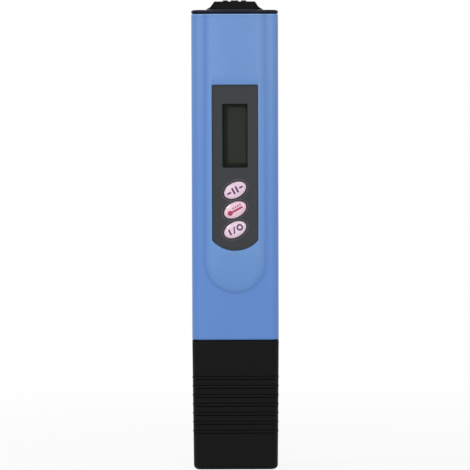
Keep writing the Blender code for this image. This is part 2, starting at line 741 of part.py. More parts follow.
def make_contact(name, x, touch):
    """A sprung leaf from the board's back, bowed clear of the tray and touching one cell."""
    face = CELL_FRONT + CELL_THICK + SEAT_GAP
    clear = face + CONTACT_BOW
    seat = BOARD_BACK + SEAT_GAP
    route = [
        (seat, BOARD_TOP - CONTACT_FOOT),
        (seat, BOARD_TOP - CONTACT_RISE),
        (seat + CONTACT_BOW / 2, BOARD_TOP - CONTACT_RISE / 2),
        (clear, BOARD_TOP - CONTACT_RISE / 6),
        (clear + CONTACT_BOW / 4, BOARD_TOP + CONTACT_RISE / 2),
        (clear, touch - 5 * CONTACT_DIMPLE),
        (face + SEAT_GAP, touch - CONTACT_DIMPLE),
        (face, touch),
        (face + SEAT_GAP, touch + CONTACT_DIMPLE),
        (clear - CONTACT_BOW / 4, touch + 2.5 * CONTACT_DIMPLE),
    ]
    bm = bmesh.new()
    verts = [bm.verts.new((x - CONTACT_HALF, y, z)) for y, z in route]
    edges = [bm.edges.new(pair) for pair in zip(verts, verts[1:])]
    drawn = bmesh.ops.extrude_edge_only(bm, edges=edges)["geom"]
    across = [item for item in drawn if isinstance(item, bmesh.types.BMVert)]
    bmesh.ops.translate(bm, verts=across, vec=(2 * CONTACT_HALF, 0, 0))
    bmesh.ops.recalc_face_normals(bm, faces=bm.faces)
    bm.normal_update()
    if sum(face_made.normal.y for face_made in bm.faces) < 0:
        bmesh.ops.reverse_faces(bm, faces=bm.faces)
    mesh = bpy.data.meshes.new(name)
    bm.to_mesh(mesh)
    bm.free()
    leaf = bpy.data.objects.new(name, mesh)
    thick = leaf.modifiers.new("thickness", "SOLIDIFY")
    thick.thickness = CONTACT_THICK
    thick.offset = 1
    keep(leaf, "spring_brass")


# Battery cover and clip


def make_battery_cover(carrier):
    """A flange with the case's own outline, a plug that enters the case and a tray for two cells."""
    levels = (
        (FLANGE_BOTTOM, FLANGE_EDGE / 2),
        (FLANGE_BOTTOM + FLANGE_EDGE / 2, 0),
        (FLANGE_TOP - 2 * FLANGE_EDGE, 0),
        (FLANGE_TOP - 0.6 * FLANGE_EDGE, 0.6 * FLANGE_EDGE),
        (FLANGE_TOP, 2 * FLANGE_EDGE),
    )
    cover = loft("battery_cover", [level_ring(crowned_outline(inset), z) for z, inset in levels])
    inset = 2 * (WALL + PLUG_GAP)
    plug = slab_outline(WIDTH - inset, DEPTH - inset, CORNER - WALL - PLUG_GAP)
    join(cover, plate("plug", [plug], "top", PLUG_BOTTOM, FLANGE_BOTTOM + 2 * FLANGE_EDGE))
    round_end = arc((0, CELL_LOWER), TRAY_HALF, 180, 360, 20)
    tray_top = PLUG_BOTTOM + FLANGE_EDGE
    tray = [*round_end, (TRAY_HALF, tray_top), (-TRAY_HALF, tray_top)]
    join(cover, plate("tray", [tray], "front", TRAY_FRONT, TRAY_RIM))
    for i in range(2):
        centre = (0, CELL_LOWER + CELL_PITCH * i)
        cut(cover, rod(f"cell_pocket_{i}", CELL_POCKET, "front", centre, TRAY_FLOOR, TRAY_RIM + WALL, 40))
    recess = link_outline(2 * SEAT_GAP)
    cut(cover, plate("link_recess", [recess], "front", TRAY_FLOOR - SEAT_GAP, CELL_FRONT + SEAT_GAP))
    half_x, half_y = (half + SEAT_GAP for half in TONGUE_HALF)
    low = (-half_x, -half_y, TONGUE_BOTTOM - 2 * SEAT_GAP)
    cut(cover, box("tongue_slot", low, (half_x, half_y, FLANGE_TOP + WALL)))
    keep(cover, "gloss_black", carrier)


def make_cell(name, level, turn, carrier):
    """A button cell: a can with rounded edges and a smaller cap on one face."""
    half = CELL_THICK / 2
    shoulder = half - CELL_STEP
    profile = [
        (0, half),
        (CELL_CAP - CELL_EDGE, half),
        (CELL_CAP, half - CELL_EDGE),
        (CELL_CAP, shoulder),
        (CELL_RADIUS - CELL_EDGE, shoulder),
        (CELL_RADIUS, shoulder - CELL_EDGE),
        (CELL_RADIUS, CELL_EDGE - half),
        (CELL_RADIUS - CELL_EDGE, -half),
        (0, -half),
    ]
    cell = turned(name, profile, 40)
    cell.rotation_euler = (turn * math.pi / 2, 0, 0)
    cell.location = (0, CELL_FRONT + half, level)
    keep(cell, "steel", carrier)


def link_outline(grow):
    wide = 2 * (LINK_HALF + grow)
    return slab_outline(wide, CELL_PITCH + wide, LINK_CORNER, (0, CELL_LOWER + CELL_PITCH / 2), 3)


def make_battery_link(carrier):
    back = CELL_FRONT - SEAT_GAP
    link = plate("battery_link", [link_outline(0)], "front", back - LINK_THICK, back)
    keep(link, "spring_brass", carrier)


def clip_side():
    """The clip seen from the side: a hump on the flange, a bend over the back edge and a sprung blade."""
    sole = FLANGE_TOP + SEAT_GAP
    inner = BACK_FACE + CLIP_GAP
    outer = inner + CLIP_THICK
    top = HUMP_TOP - RIDGE_TALL
    heel = CLIP_TIP + CLIP_HEEL_UP
    return [
        (HUMP_FRONT, sole),
        *arc((HUMP_FRONT + 2 * HUMP_BROW, top - HUMP_BROW), HUMP_BROW, 170, 90, 4),
        *arc((outer - CLIP_BEND, top - CLIP_BEND), CLIP_BEND, 90, 0, 8),
        (outer - 0.7 * CLIP_DIP, heel + 2 * CLIP_HEEL),
        (outer - CLIP_DIP, heel - 1.3 * CLIP_HEEL),
        (outer - SEAT_GAP, CLIP_TIP + CLIP_DIP),
        (outer - CLIP_DIP, CLIP_TIP),
        (inner - 2 * SEAT_GAP, CLIP_TIP + CLIP_HEEL),
        *arc((BACK_FACE + CLIP_REST + CLIP_HEEL, heel), CLIP_HEEL, 220, 150, 4),
        (inner - 3 * SEAT_GAP, heel + 4 * CLIP_HEEL),
        (inner, heel + 9 * CLIP_HEEL),
        *arc((inner - CLIP_INNER_BEND, sole - CLIP_INNER_BEND), CLIP_INNER_BEND, 0, 90, 5),
    ]


def clip_front():
    """The clip seen from the front: as wide as the hump's top, with a blade that tapers to a round tip."""
    tip = CLIP_TIP_HALF * 0.6
    right = [
        (HUMP_TOP_HALF, HUMP_TOP),
        (HUMP_TOP_HALF, FLANGE_TOP),
        (CLIP_ROOT_HALF, FLANGE_TOP - CLIP_BEND),
        *arc((CLIP_TIP_HALF - tip, CLIP_TIP + tip - SEAT_GAP), tip, 0, -90, 6),
    ]
    return right + [(-x, z) for x, z in right[::-1]]


def hump_front():
    """The hump's flanks seen from the front: straight above, then flaring out to the flange."""
    knee_x, knee_z = HUMP_KNEE
    foot_x, foot_z = HUMP_FOOT
    steps = (0, 0.35, 0.7, 1)
    flare = [(knee_x + (foot_x - knee_x) * t**1.6, knee_z + (foot_z - knee_z) * t) for t in steps]
    brow = HUMP_TOP - 1.5 * RIDGE_TALL
    right = [(HUMP_TOP_HALF, brow), *flare, (foot_x, FLANGE_TOP + SEAT_GAP)]
    return right + [(-x, z) for x, z in right[::-1]]


def make_pocket_clip(carrier):
    clip = plate("pocket_clip", [clip_side()], "side", -WIDTH / 2, WIDTH / 2)
    combine(clip, plate("clip_front", [clip_front()], "front", -DEPTH, 2 * DEPTH), "INTERSECT")
    flanks = plate("hump_flanks", [hump_front()], "front", HUMP_FRONT + HUMP_BROW, BACK_FACE - WALL)
    join(clip, flanks)
    top = HUMP_TOP - RIDGE_TALL
    for x, half in RIDGES:
        low = (x - half, HUMP_FRONT + 2 * HUMP_BROW, top - WALL / 2)
        join(clip, box("ridge", low, (x + half, BACK_FACE + HUMP_BROW, HUMP_TOP)))
    half_x, half_y = TONGUE_HALF
    join(clip, box("tongue", (-half_x, -half_y, TONGUE_BOTTOM), (half_x, half_y, FLANGE_TOP + WALL / 2)))
    keep(clip, "black_plastic", carrier)


def make_battery_drawer():
    carrier = make_carrier("battery_axis", (0, 0, FLANGE_BOTTOM))
    make_battery_cover(carrier)
    make_cell("battery_cell_lower", CELL_LOWER, 1, carrier)
    make_cell("battery_cell_upper", CELL_LOWER + CELL_PITCH, -1, carrier)
    make_battery_link(carrier)
    make_pocket_clip(carrier)
    make_contact("contact_positive", CONTACT_X, CELL_LOWER)
    make_contact("contact_negative", -CONTACT_X, CELL_LOWER + CELL_PITCH)


# Probe and cap


def ring_cutter(name, width, depth, corner, deep, middle, tall):
    """A frame that cuts a groove of the given depth round a slab."""
    outside = slab_outline(width + 2 * WALL, depth + 2 * WALL, corner + WALL)
    inside = slab_outline(width - 2 * deep, depth - 2 * deep, corner - deep)
    return plate(name, [outside, inside], "top", middle - tall / 2, middle + tall / 2)


def make_probe_body():
    """The probe moulding: an insert held in the case, a neck for the cap and a tip with an open well."""
    inset = WALL + INSERT_GAP
    insert = (WIDTH - 2 * inset, DEPTH - 2 * inset, CORNER - inset)
    neck = (NECK_WIDE, NECK_DEEP, NECK_CORNER)
    tip = (TIP_WIDE, TIP_DEEP, TIP_CORNER)
    edge = 2 * TIP_EDGE
    levels = (
        (TIP_BOTTOM, (TIP_WIDE - edge, TIP_DEEP - edge, TIP_CORNER - TIP_EDGE)),
        (TIP_BOTTOM + TIP_EDGE, tip),
        (TIP_TOP, tip),
        (NECK_BOTTOM, neck),
        (NECK_TOP, neck),
        (NECK_TOP + TIP_EDGE, insert),
        (INSERT_TOP, insert),
    )
    body = loft("probe_body", [level_ring(slab_outline(*size), z) for z, size in levels])
    for name, level in (("seal_groove", SEAL_Z), ("keeper_groove", KEEPER_Z)):
        cut(body, ring_cutter(name, *insert, GROOVE_DEEP, level, GROOVE_TALL))
    below = TIP_BOTTOM - OVERRUN
    well = slab_outline(WELL_WIDE, WELL_DEEP, TIP_CORNER)
    cut(body, plate("well", [well], "top", below, WELL_ROOF))
    arch = arc((0, WELL_NOTCH_TOP - WELL_NOTCH), WELL_NOTCH, 0, 180, 12)
    notch = [(WELL_NOTCH, below), *arch, (-WELL_NOTCH, below)]
    cut(body, plate("well_notch", [notch], "front", -TIP_DEEP, TIP_DEEP))
    wiring = slab_outline(WIRING_WIDE, WIRING_DEEP, TIP_CORNER)
    cut(body, plate("wiring_space", [wiring], "top", WIRING_FLOOR, INSERT_TOP + OVERRUN))
    bore = (WELL_ROOF - WALL, WIRING_FLOOR + WALL)
    for side in (-1, 1):
        cut(body, rod("pin_bore", PIN_BORE, "top", (side * PIN_X, 0), *bore, 16))
    bore_floor = SENSOR_BOTTOM - 2 * SEAT_GAP
    cut(body, rod("sensor_bore", SENSOR_BORE, "top", (0, 0), bore_floor, WIRING_FLOOR + WALL, 16))
    keep(body, "black_plastic")


def make_probe_seal():
    inset = WALL + SEAT_GAP / 2 + SEAL_RADIUS
    outline = slab_outline(WIDTH - 2 * inset, DEPTH - 2 * inset, CORNER - inset)
    keep(tube("probe_seal", level_ring(outline, SEAL_Z), SEAL_RADIUS, closed=True), "rubber")


def lead_route(x, start):
    """A gentle S from a pin's head to the board's back."""
    end_y = BOARD_BACK + SEAT_GAP + LEAD_RADIUS
    stations = [i / 12 for i in range(13)]
    return [(x, end_y * t * t * (3 - 2 * t), start + (LEAD_END - start) * t) for t in stations]


def make_probe_wiring():
    tip = PIN_RADIUS
    turns = [math.radians(angle) for angle in (0, 30, 60)]
    round_tip = [(tip * math.cos(turn), PIN_TIP + tip - tip * math.sin(turn)) for turn in turns]
    for name, side, finish in (("left", -1, "red_lead"), ("right", 1, "black_lead")):
        pin = turned(f"electrode_{name}", [(0, PIN_TOP), (tip, PIN_TOP), *round_tip, (0, PIN_TIP)], 20)
        pin.location.x = side * PIN_X
        keep(pin, "steel")
        route = lead_route(side * PIN_X, PIN_TOP + SEAT_GAP)
        keep(tube(f"electrode_lead_{name}", route, LEAD_RADIUS), finish)
    radius = SENSOR_RADIUS
    bead = [
        (0, SENSOR_TOP),
        (radius * 0.6, SENSOR_TOP),
        (radius, SENSOR_TOP - radius),
        (radius, SENSOR_BOTTOM + radius * 0.7),
        (radius * 0.6, SENSOR_BOTTOM + radius * 0.15),
        (0, SENSOR_BOTTOM),
    ]
    keep(turned("thermistor", bead, 20), "dark_epoxy")
    keep(tube("thermistor_lead", lead_route(0, SENSOR_TOP + SEAT_GAP), LEAD_RADIUS), "black_lead")


def cap_outline(z, inset):
    """The cap's section at a height: it tapers a little towards its closed end."""
    rise = z / CAP_TOP
    width = CAP_WIDE[0] + (CAP_WIDE[1] - CAP_WIDE[0]) * rise
    depth = CAP_DEEP[0] + (CAP_DEEP[1] - CAP_DEEP[0]) * rise
    return slab_outline(width - 2 * inset, depth - 2 * inset, CORNER - inset)


def make_probe_cap():
    """A tapered cap with grip ribs between notches all round, a rounded closed end and an even wall."""
    carrier = make_carrier("cap_axis", (0, 0, 0))
    turns = [math.radians(angle) for angle in (0, 22.5, 45, 67.5, 90)]
    levels = [(CAP_EDGE * (1 - math.cos(turn)), CAP_EDGE * (1 - math.sin(turn))) for turn in turns]
    for i in reversed(range(CAP_RIBS)):
        middle = CAP_RIB_TOP - CAP_RIB_PITCH * i
        levels += [
            (middle - CAP_RIB_HALF - CAP_NOTCH_WIDE, 0),
            (middle - CAP_RIB_HALF - CAP_NOTCH_WIDE / 2, CAP_NOTCH_DEEP),
            (middle - CAP_RIB_HALF, -CAP_RIB_RISE),
            (middle + CAP_RIB_HALF, -CAP_RIB_RISE),
            (middle + CAP_RIB_HALF + CAP_NOTCH_WIDE / 2, CAP_NOTCH_DEEP),
            (middle + CAP_RIB_HALF + CAP_NOTCH_WIDE, 0),
        ]
    levels += [(CAP_TOP - SEAT_GAP, 0), (CAP_TOP, SEAT_GAP)]
    cap = loft("probe_cap", [level_ring(cap_outline(z, inset), z) for z, inset in levels])
    inner = (CAP_FLOOR, CAP_TOP + OVERRUN)
    cut(cap, loft("cap_inside", [level_ring(cap_outline(z, CAP_WALL), z) for z in inner]))
    keep(cap, "black_plastic", carrier)


make_front_shell()
make_rear_shell()
make_front_panel()
make_display_window()
for key_name, key_level in key_levels().items():
    make_key(key_name, key_level)
    make_switch(key_name, key_level)
make_circuit_board()
make_lcd()
make_chips()
make_trimmer()
make_battery_drawer()
make_probe_body()
make_probe_seal()
make_probe_wiring()
make_probe_cap()
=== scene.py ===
"""Looks of a pocket water test pen: smooth mouldings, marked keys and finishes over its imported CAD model.

Metres, +Z up the pen, the front face towards -Y. The pen stands on its cap.
"""

import math

import bmesh
import bpy
from mathutils import Matrix, Vector


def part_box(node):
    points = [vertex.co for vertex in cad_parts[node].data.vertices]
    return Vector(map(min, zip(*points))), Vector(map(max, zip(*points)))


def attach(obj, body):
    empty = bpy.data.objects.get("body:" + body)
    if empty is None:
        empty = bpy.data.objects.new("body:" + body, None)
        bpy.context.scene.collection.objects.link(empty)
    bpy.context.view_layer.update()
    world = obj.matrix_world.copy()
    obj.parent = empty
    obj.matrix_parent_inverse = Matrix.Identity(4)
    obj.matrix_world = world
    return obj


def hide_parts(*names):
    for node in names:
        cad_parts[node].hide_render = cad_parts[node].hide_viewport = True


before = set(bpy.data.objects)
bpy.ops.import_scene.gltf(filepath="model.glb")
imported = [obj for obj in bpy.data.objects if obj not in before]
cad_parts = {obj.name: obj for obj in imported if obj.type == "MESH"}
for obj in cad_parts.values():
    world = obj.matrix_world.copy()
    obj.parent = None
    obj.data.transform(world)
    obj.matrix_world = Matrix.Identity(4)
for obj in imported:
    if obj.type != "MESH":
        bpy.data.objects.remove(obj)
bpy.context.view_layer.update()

MM = 0.001
ACROSS, DEEP, UP = range(3)


def mm(*values):
    """Sizes given in millimetres."""
    return tuple(value * MM for value in values)


def corners(node):
    """A node's lowest and highest corner."""
    return [Vector(corner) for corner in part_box(node)]


def level_of(node):
    low, high = corners(node)
    return (low.z + high.z) / 2


# Case
SHELL_LOW, SHELL_HIGH = corners("front_shell")
HALF_WIDE = SHELL_HIGH.x
BACK_FACE = corners("rear_shell")[1].y
FRONT_FACE = -BACK_FACE
CASE_BOTTOM = SHELL_LOW.z
CASE_TOP = SHELL_HIGH.z
PARTING = SHELL_HIGH.y
PARTING_GAP = 0.15 * MM
CORNER = 2.8 * MM
WALL = 1.4 * MM
OVERRUN = 2 * MM
RIM_EDGE = 0.12 * MM
# Width of the painted highlight along the blue shell's top rim
RIM_HIGHLIGHT = 0.3 * MM
FOOT_EDGE = 0.45 * MM
COLLAR_DROP = 0.55 * MM
COLLAR_LINE = 0.2 * MM
COLLAR_DEEP = 0.12 * MM
PARTING_EDGE = 0.16 * MM
LIP_DEEP = 0.7 * MM
LIP_TALL = 0.9 * MM
TRIM_HOLE = 2.5 * MM
CORNER_STEPS = 12
BEND_STEPS = 8
OVAL_STEPS = 72
CASE_SLICES = 26
END_SLICES = mm(0.4, 0.8)

# Crown: the raised field on the front
CROWN_HALF = 9.9 * MM
CROWN_END = 68.4 * MM
CROWN_ROUND = 2.4 * MM
CROWN_POWER = 2.2
CROWN_BOW = 0.45 * MM
CROWN_STEP = 0.55 * MM
CROWN_SKIRT = 0.5 * MM
CROWN_FOOT = 0.01 * MM
CROWN_STEPS = 8
CROWN_SKIRT_STEPS = 8
CROWN_TURN_STEPS = 56

# Heights over which the blue beside the crown darkens downward into painted shade, and the width and
# strength of the painted shade in the crease round the crown
PAINTED_SHADE_LOW = 95 * MM
PAINTED_SHADE_HIGH = 135 * MM
CREASE_WIDE = 0.9 * MM
CREASE_SHADE_SHARE = 0.34

# Front panel, window and keys
PANEL_LOW, PANEL_HIGH = corners("front_panel")
PANEL_HALF = PANEL_HIGH.x
PANEL_SAG = 3.4 * MM
PANEL_CORNER = 0.5 * MM
PANEL_GAP = 0.12 * MM
PANEL_EDGE = 0.1 * MM
PANEL_CORNER_STEPS = 6
PANEL_ARC_CUTS = 39
POCKET_FLOOR = -6.5 * MM
POCKET_EDGE = 0.2 * MM
WINDOW_LOW, WINDOW_HIGH = corners("display_window")
WINDOW_BORDER = 0.6 * MM
VIEW_HALF = WINDOW_HIGH.x - WINDOW_BORDER
VIEW_BOTTOM = WINDOW_LOW.z + WINDOW_BORDER
VIEW_TOP = WINDOW_HIGH.z - WINDOW_BORDER
VIEW_CORNER = 0.3 * MM
VIEW_CORNER_STEPS = 4
WINDOW_SEAT = -5.85 * MM
SURROUND_WIDE = 0.14 * MM
SURROUND_GAP = 0.02 * MM
GLASS_FACE = corners("lcd_panel")[0].y
FILM_FRONT = 0.2 * MM
FILM_BACK = 0.05 * MM
FILM_EDGE = 0.05 * MM
FILM_CORNER_STEPS = 3
# Corners of the display's paler field; the darker border round it, wider at the left, is partly the
# display's own dark edge and partly painted shadow cast by the window's edge
FIELD_LOW = Vector((-2.35 * MM, VIEW_BOTTOM + 1.5 * MM))
FIELD_HIGH = Vector((4.0 * MM, VIEW_TOP - 1.2 * MM))
FIELD_SOFT = 0.9 * MM
KEYS = ("hold", "temp", "power")
KEY_LEVELS = [level_of(f"button_{key}") for key in KEYS]
KEY_LONG = 3.86 * MM
KEY_SHORT = 2.44 * MM
KEY_TILT = math.radians(28)
KEY_GAP = 0.18 * MM
KEY_FLANGE = 0.42 * MM
KEY_FLANGE_FRONT = -5.0 * MM
KEY_FLANGE_BACK = -4.35 * MM
KEY_STEM = 1.1 * MM
KEY_DOME_STEPS = 6
RIDGE_AWAY = 0.66 * MM
RIDGE_HALF = 0.17 * MM
RIDGE_RISE = 0.1 * MM
RIDGE_STEPS = 6
# How far in, and at what share of the height, up a key's wall and over its slanted rim
KEY_RIM_IN = mm(0, 0, 0.04, 0.12, 0.46, 0.56, 0.7)
KEY_RIM_UP = (0, 0.28, 0.37, 0.45, 0.8, 0.87, 0.92)

# Battery cover
FLANGE_BOTTOM = 149.9 * MM
FLANGE_TOP = corners("battery_cover")[1].z
FLANGE_BULGE = 0.12 * MM
FLANGE_ROLL = 0.7 * MM
FLANGE_SEAT_INSET = 0.4 * MM
FLANGE_STEPS = 14
PLUG_BOTTOM = 147.8 * MM
PLUG_GAP = 0.3 * MM
PLUG_OVERLAP = 0.5 * MM
TRAY_HALF = 7.1 * MM
TRAY_FRONT = -5.1 * MM
TRAY_FLOOR = -4.1 * MM
TRAY_RIM = 1.3 * MM
TRAY_OVERLAP = 0.3 * MM
CELL_POCKET = 5.95 * MM
LINK_CORNER = 0.8 * MM
LINK_STEPS = 4
SEAT_GAP = 0.1 * MM

# Clip: points along its outlines end with their rounding
CLIP_LOW, CLIP_HIGH = corners("pocket_clip")
CLIP_TIP = CLIP_LOW.z
CLIP_EDGE = 0.16 * MM
CLIP_SOLE = FLANGE_TOP + SEAT_GAP
HUMP_HALF = 6.75 * MM
HUMP_TOE = -3.2 * MM
HUMP_BROW = -2.55 * MM
HUMP_BROW_ROUND = 0.9 * MM
HUMP_BACK_ROUND = 2.7 * MM
HUMP_RIDGE = 0.35 * MM
HUMP_TOP = CLIP_HIGH.z - HUMP_RIDGE
HUMP_FLANK_DROP = 0.17 * MM
HUMP_FLANK_FRONT = -2.4 * MM
HUMP_FLANK = (mm(7.35, 153.0, 0.5), mm(7.85, 152.2, 0.6), mm(9.4, 151.3, 0))
# (place, half width) of each ridge over the hump
HUMP_RIDGES = (mm(-3.0, 0.85), mm(0, 1.3), mm(3.0, 0.85))
HUMP_RIDGE_FRONT = -1.6 * MM
HUMP_RIDGE_BACK = BACK_FACE + 0.8 * MM
HUMP_RIDGE_ROOT = 0.7 * MM
BLADE_THICK = 1.8 * MM
# In from the blade's outer face, and up from its tip
BLADE_OUTER = (mm(0.49, 8, 1.5), mm(0.7, 3.05, 1), mm(0.05, 0.4, 0.3), mm(0.9, 0, 0.3))
# In from the blade's inner face, and up from its tip
BLADE_TOE = mm(0.2, 1.5, 0.3)
BLADE_INNER = (mm(0.3, 11, 1.5), mm(0, 18.5, 1.5))
BLADE_ROOT_ROUND = 1.2 * MM
HEEL = (BACK_FACE + 0.35 * MM, CLIP_TIP + 5 * MM, 1.2 * MM)
# Half the blade's outline as seen from the back
BLADE_WIDTH = (
    (HUMP_HALF, CLIP_HIGH.z, 0),
    (HUMP_HALF, FLANGE_TOP, 1 * MM),
    (6.2 * MM, FLANGE_TOP - 2.7 * MM, 1 * MM),
    (4.6 * MM, CLIP_TIP - SEAT_GAP, 2.76 * MM),
)
PEG_HALF = mm(4, 1.5)
PEG_BOTTOM = 148.8 * MM
PEG_OVERLAP = 0.6 * MM

# Cap
CAP_TOP = corners("probe_cap")[1].z
# At the closed end and at the mouth
CAP_WIDE = mm(27.7, 28.5)
CAP_DEEP = mm(12.8, 13.4)
CAP_EDGE = 1.5 * MM
CAP_EDGE_STEPS = 8
CAP_FLOOR = 2.0 * MM
CAP_FLOOR_EDGE = 0.4 * MM
CAP_RIBS = 7
CAP_RIB_TOP = 30.36 * MM
CAP_RIB_PITCH = 2.96 * MM
CAP_RIB_HALF = 0.36 * MM
CAP_RIB_RISE = 0.1 * MM
CAP_NOTCH_WIDE = 0.3 * MM
CAP_NOTCH_DEEP = 0.35 * MM
CAP_RIB_STEPS = 6
# Shares of the width and of the depth across a notch
NOTCH_LINE = ((0, 0), (0.12, 0.1), (0.42, 0.94), (0.5, 1), (0.58, 0.94), (0.88, 0.1), (1, 0))

# Probe: sections are width, depth and corner
PROBE_LOW, PROBE_HIGH = corners("probe_body")
PROBE_INSERT = (2 * PROBE_HIGH.x, 2 * PROBE_HIGH.y, CORNER - HALF_WIDE + PROBE_HIGH.x)
PROBE_NECK = mm(24.6, 9.7, 1.5)
PROBE_TIP = mm(19.6, 8.2, 2.0)
PROBE_WELL = mm(13.8, 6.4, 2.0)
PROBE_WIRING = mm(19.0, 6.0, 2.0)
PROBE_STEPS = 8
NECK_TOP = 43.1 * MM
NECK_BOTTOM = 22.6 * MM
TIP_TOP = 19.4 * MM
TIP_EDGE = 0.6 * MM
WELL_ROOF = 18.0 * MM
WELL_NOTCH = 2.6 * MM
WELL_NOTCH_TOP = 12.5 * MM
WELL_NOTCH_ROUND = 0.99 * WELL_NOTCH
WIRING_FLOOR = 26.0 * MM
GROOVE_LEVELS = mm(46.0, 51.5)
GROOVE_DEEP = 0.85 * MM
GROOVE_TALL = 1.4 * MM
PIN_BORE = 0.95 * MM
SENSOR_BORE = 1.3 * MM
BORE_STEPS = 24

# Finishes
GRAIN = 0.22 * MM
GRAIN_DEEP = 0.004 * MM
COARSE_DEEP = 0.006 * MM
ROUGH_DEEP = 0.01 * MM
SMOOTH_DEEP = 0.001 * MM
FLOW = 14 * MM
HAIRLINE = 0.12 * MM
HAIRLINE_DEEP = 0.002 * MM
DULL_PATCH = 3 * MM
KEY_GRAIN = 0.3 * MM
KEY_CLOUD = 4 * MM
GLASS_CLOUD = 5 * MM
GLASS_GRAIN = 0.4 * MM
WINDOW_CLOUD = 6 * MM
# Depth of the painted shade on the floor of the trimmer's slot
SLOT_SHADE = 0.2 * MM
BOARD_PITCH = 1.27 * MM
TRACK_WANDER = 6 * MM
TRACK_DEEP = 0.03 * MM
ZEBRA_PITCH = 0.2 * MM

# Marks on the keys, in millimetres along and across the key: centres, half sizes or radii
PAUSE_BAR = ((0.62, 0), (0.32, 1.1))
PAUSE_DASH = ((2.2, 0), (0.68, 0.29))
THERMOMETER_BULB = ((-1.95, -0.2), 0.84)
THERMOMETER_STEM = ((0.45, -0.2), (2.2, 0.34))
TICK_HALF = (0.2, 0.3)
TICK_PLACES = [(-0.35 + 0.85 * step, 0.78) for step in range(4)]
SWITCH_LINE = ((-1.95, 0), (0.3, 1.0))
SWITCH_RING = ((1.7, 0), 0.84)
SWITCH_RING_HALF = 0.27
SWITCH_STROKE = ((-0.35, 0), (0.24, 1.1))
SWITCH_LEAN = 0.45
INK_SOFT = 0.12

# Studio: lamps are place, size and power
MIDDLE = Vector((0, 0, 0.08))
LAMPS = {
    "left_light": ((-0.22, -0.75, 0.17), 0.3, 0.5),
    "right_light": ((0.22, -0.75, 0.17), 0.3, 0.48),
    "right_fill": ((0.45, -0.38, 0.2), 0.3, 0.32),
    "top_light": ((0.0, -0.30, 0.34), 0.2, 0.18),
    "left_glint": ((-0.20, -0.75, 0.27), 0.06, 0.14),
    "right_glint": ((0.20, -0.75, 0.27), 0.06, 0.14),
    "back_light": ((0.0, 0.8, 0.4), 0.6, 0.9),
    "key_glint": ((-0.42, -0.12, 0.49), 0.17, 0.9),
}
PLAIN_WHITE = (1, 1, 1, 1)
SOFT_LIGHT = 0.48
FLOOR_GREY = (0.86, 0.86, 0.86, 1)
FLOOR_RADIUS = 0.45
FLOOR_STEPS = 96
FLOOR_SHADE = 0.12
FADE_START = 0.075
FADE_WIDE = 0.25
CAMERA_EYE = Vector((-0.00008, -1.0, 0.12))
CAMERA_AIM = Vector((-0.00008, 0, 0.0771))
CAMERA_ROLL = math.radians(-0.17)
CAMERA_SENSOR = 36.0
CAMERA_LENS = 232.22
CAMERA_CLIP = (0.05, 20.0)

# Edges that turn further are sharp, and shorter lengths count as none or as touching
SHARP = math.radians(32)
TINY = 0.01 * MM
TOUCHING = 0.001 * MM


# Shader wiring


class Wire:
    """An output socket of a node tree. Sums, products and the like of wires add Math nodes."""

    def __init__(self, nodes, socket):
        self.nodes = nodes
        self.socket = socket

    def maths(self, operation, *values, clamp=False):
        settings = {"operation": operation, "use_clamp": clamp}
        return self.nodes.add("ShaderNodeMath", settings, dict(enumerate(values)))

    def __add__(self, other):
        return self.maths("ADD", self, other)

    def __sub__(self, other):
        return self.maths("SUBTRACT", self, other)

    def __mul__(self, other):
        return self.maths("MULTIPLY", self, other)

    def __rsub__(self, other):
        return self.maths("SUBTRACT", other, self)

    def __abs__(self):
        return self.maths("ABSOLUTE", self)

    __radd__ = __add__
    __rmul__ = __mul__


class Nodes:
    """A node tree, with one method for any node."""

    def __init__(self, tree):
        self.tree = tree

    def add(self, kind, settings, values, output=0):
        """A node with its settings, then with the values or links of its sockets."""
        made = self.tree.nodes.new(kind)
        for name, value in settings.items():
            setattr(made, name, value)
        for name, value in values.items():
            if isinstance(value, Wire):
                self.tree.links.new(value.socket, made.inputs[name])
            else:
                made.inputs[name].default_value = value
        return Wire(self, made.outputs[output])


def colour(red, green, blue):
    """An sRGB colour of 0 to 255 in the linear values that a socket takes."""
    shares = [channel / 255 for channel in (red, green, blue)]
    linear = [s / 12.92 if s <= 0.04045 else ((s + 0.055) / 1.055) ** 2.4 for s in shares]
    return (*linear, 1)


def shaded(base, amount):
    """A colour made lighter or darker by a factor."""
    return (*(channel * amount for channel in base[:3]), 1)


class Finish(Nodes):
    """A material made of nodes round one shader, on the piece's own coordinates."""

    def __init__(self, name, constants):
        self.material = bpy.data.materials.new(name)
        self.material.use_nodes = True
        super().__init__(self.material.node_tree)
        self.shader = self.tree.nodes["Principled BSDF"]
        for socket, value in constants.items():
            self.shader.inputs[socket].default_value = value
        self.place = self.add("ShaderNodeTexCoord", {}, {}, "Object")

    def feed(self, socket, wire):
        self.tree.links.new(wire.socket, self.shader.inputs[socket])

    def axis(self, name):
        return self.add("ShaderNodeSeparateXYZ", {}, {"Vector": self.place}, name)

    def lumps(self, size, detail=2.0, stretch=(1, 1, 1)):
        """Soft noise of about 0 to 1 whose lumps have a size in metres."""
        mapped = self.add("ShaderNodeMapping", {}, {"Vector": self.place, "Scale": stretch})
        return self.add("ShaderNodeTexNoise", {}, {"Vector": mapped, "Scale": 1 / size, "Detail": detail})

    def mix(self, share, first, second):
        return self.add("ShaderNodeMix", {"data_type": "RGBA"}, {0: share, 6: first, 7: second}, 2)

    def tint(self, share, first, second):
        self.feed("Base Color", self.mix(share, first, second))

    def relief(self, height, depth):
        self.feed("Normal", self.add("ShaderNodeBump", {}, {"Height": height, "Distance": depth}))


def swaying(noise, amount):
    """Noise turned into a value that sways about 0."""
    return (noise - 0.5) * amount


def ramp(value, start, wide):
    """Rises from 0 at the start to 1 over a width."""
    return value.maths("MULTIPLY_ADD", value, 1 / wide, -start / wide, clamp=True)


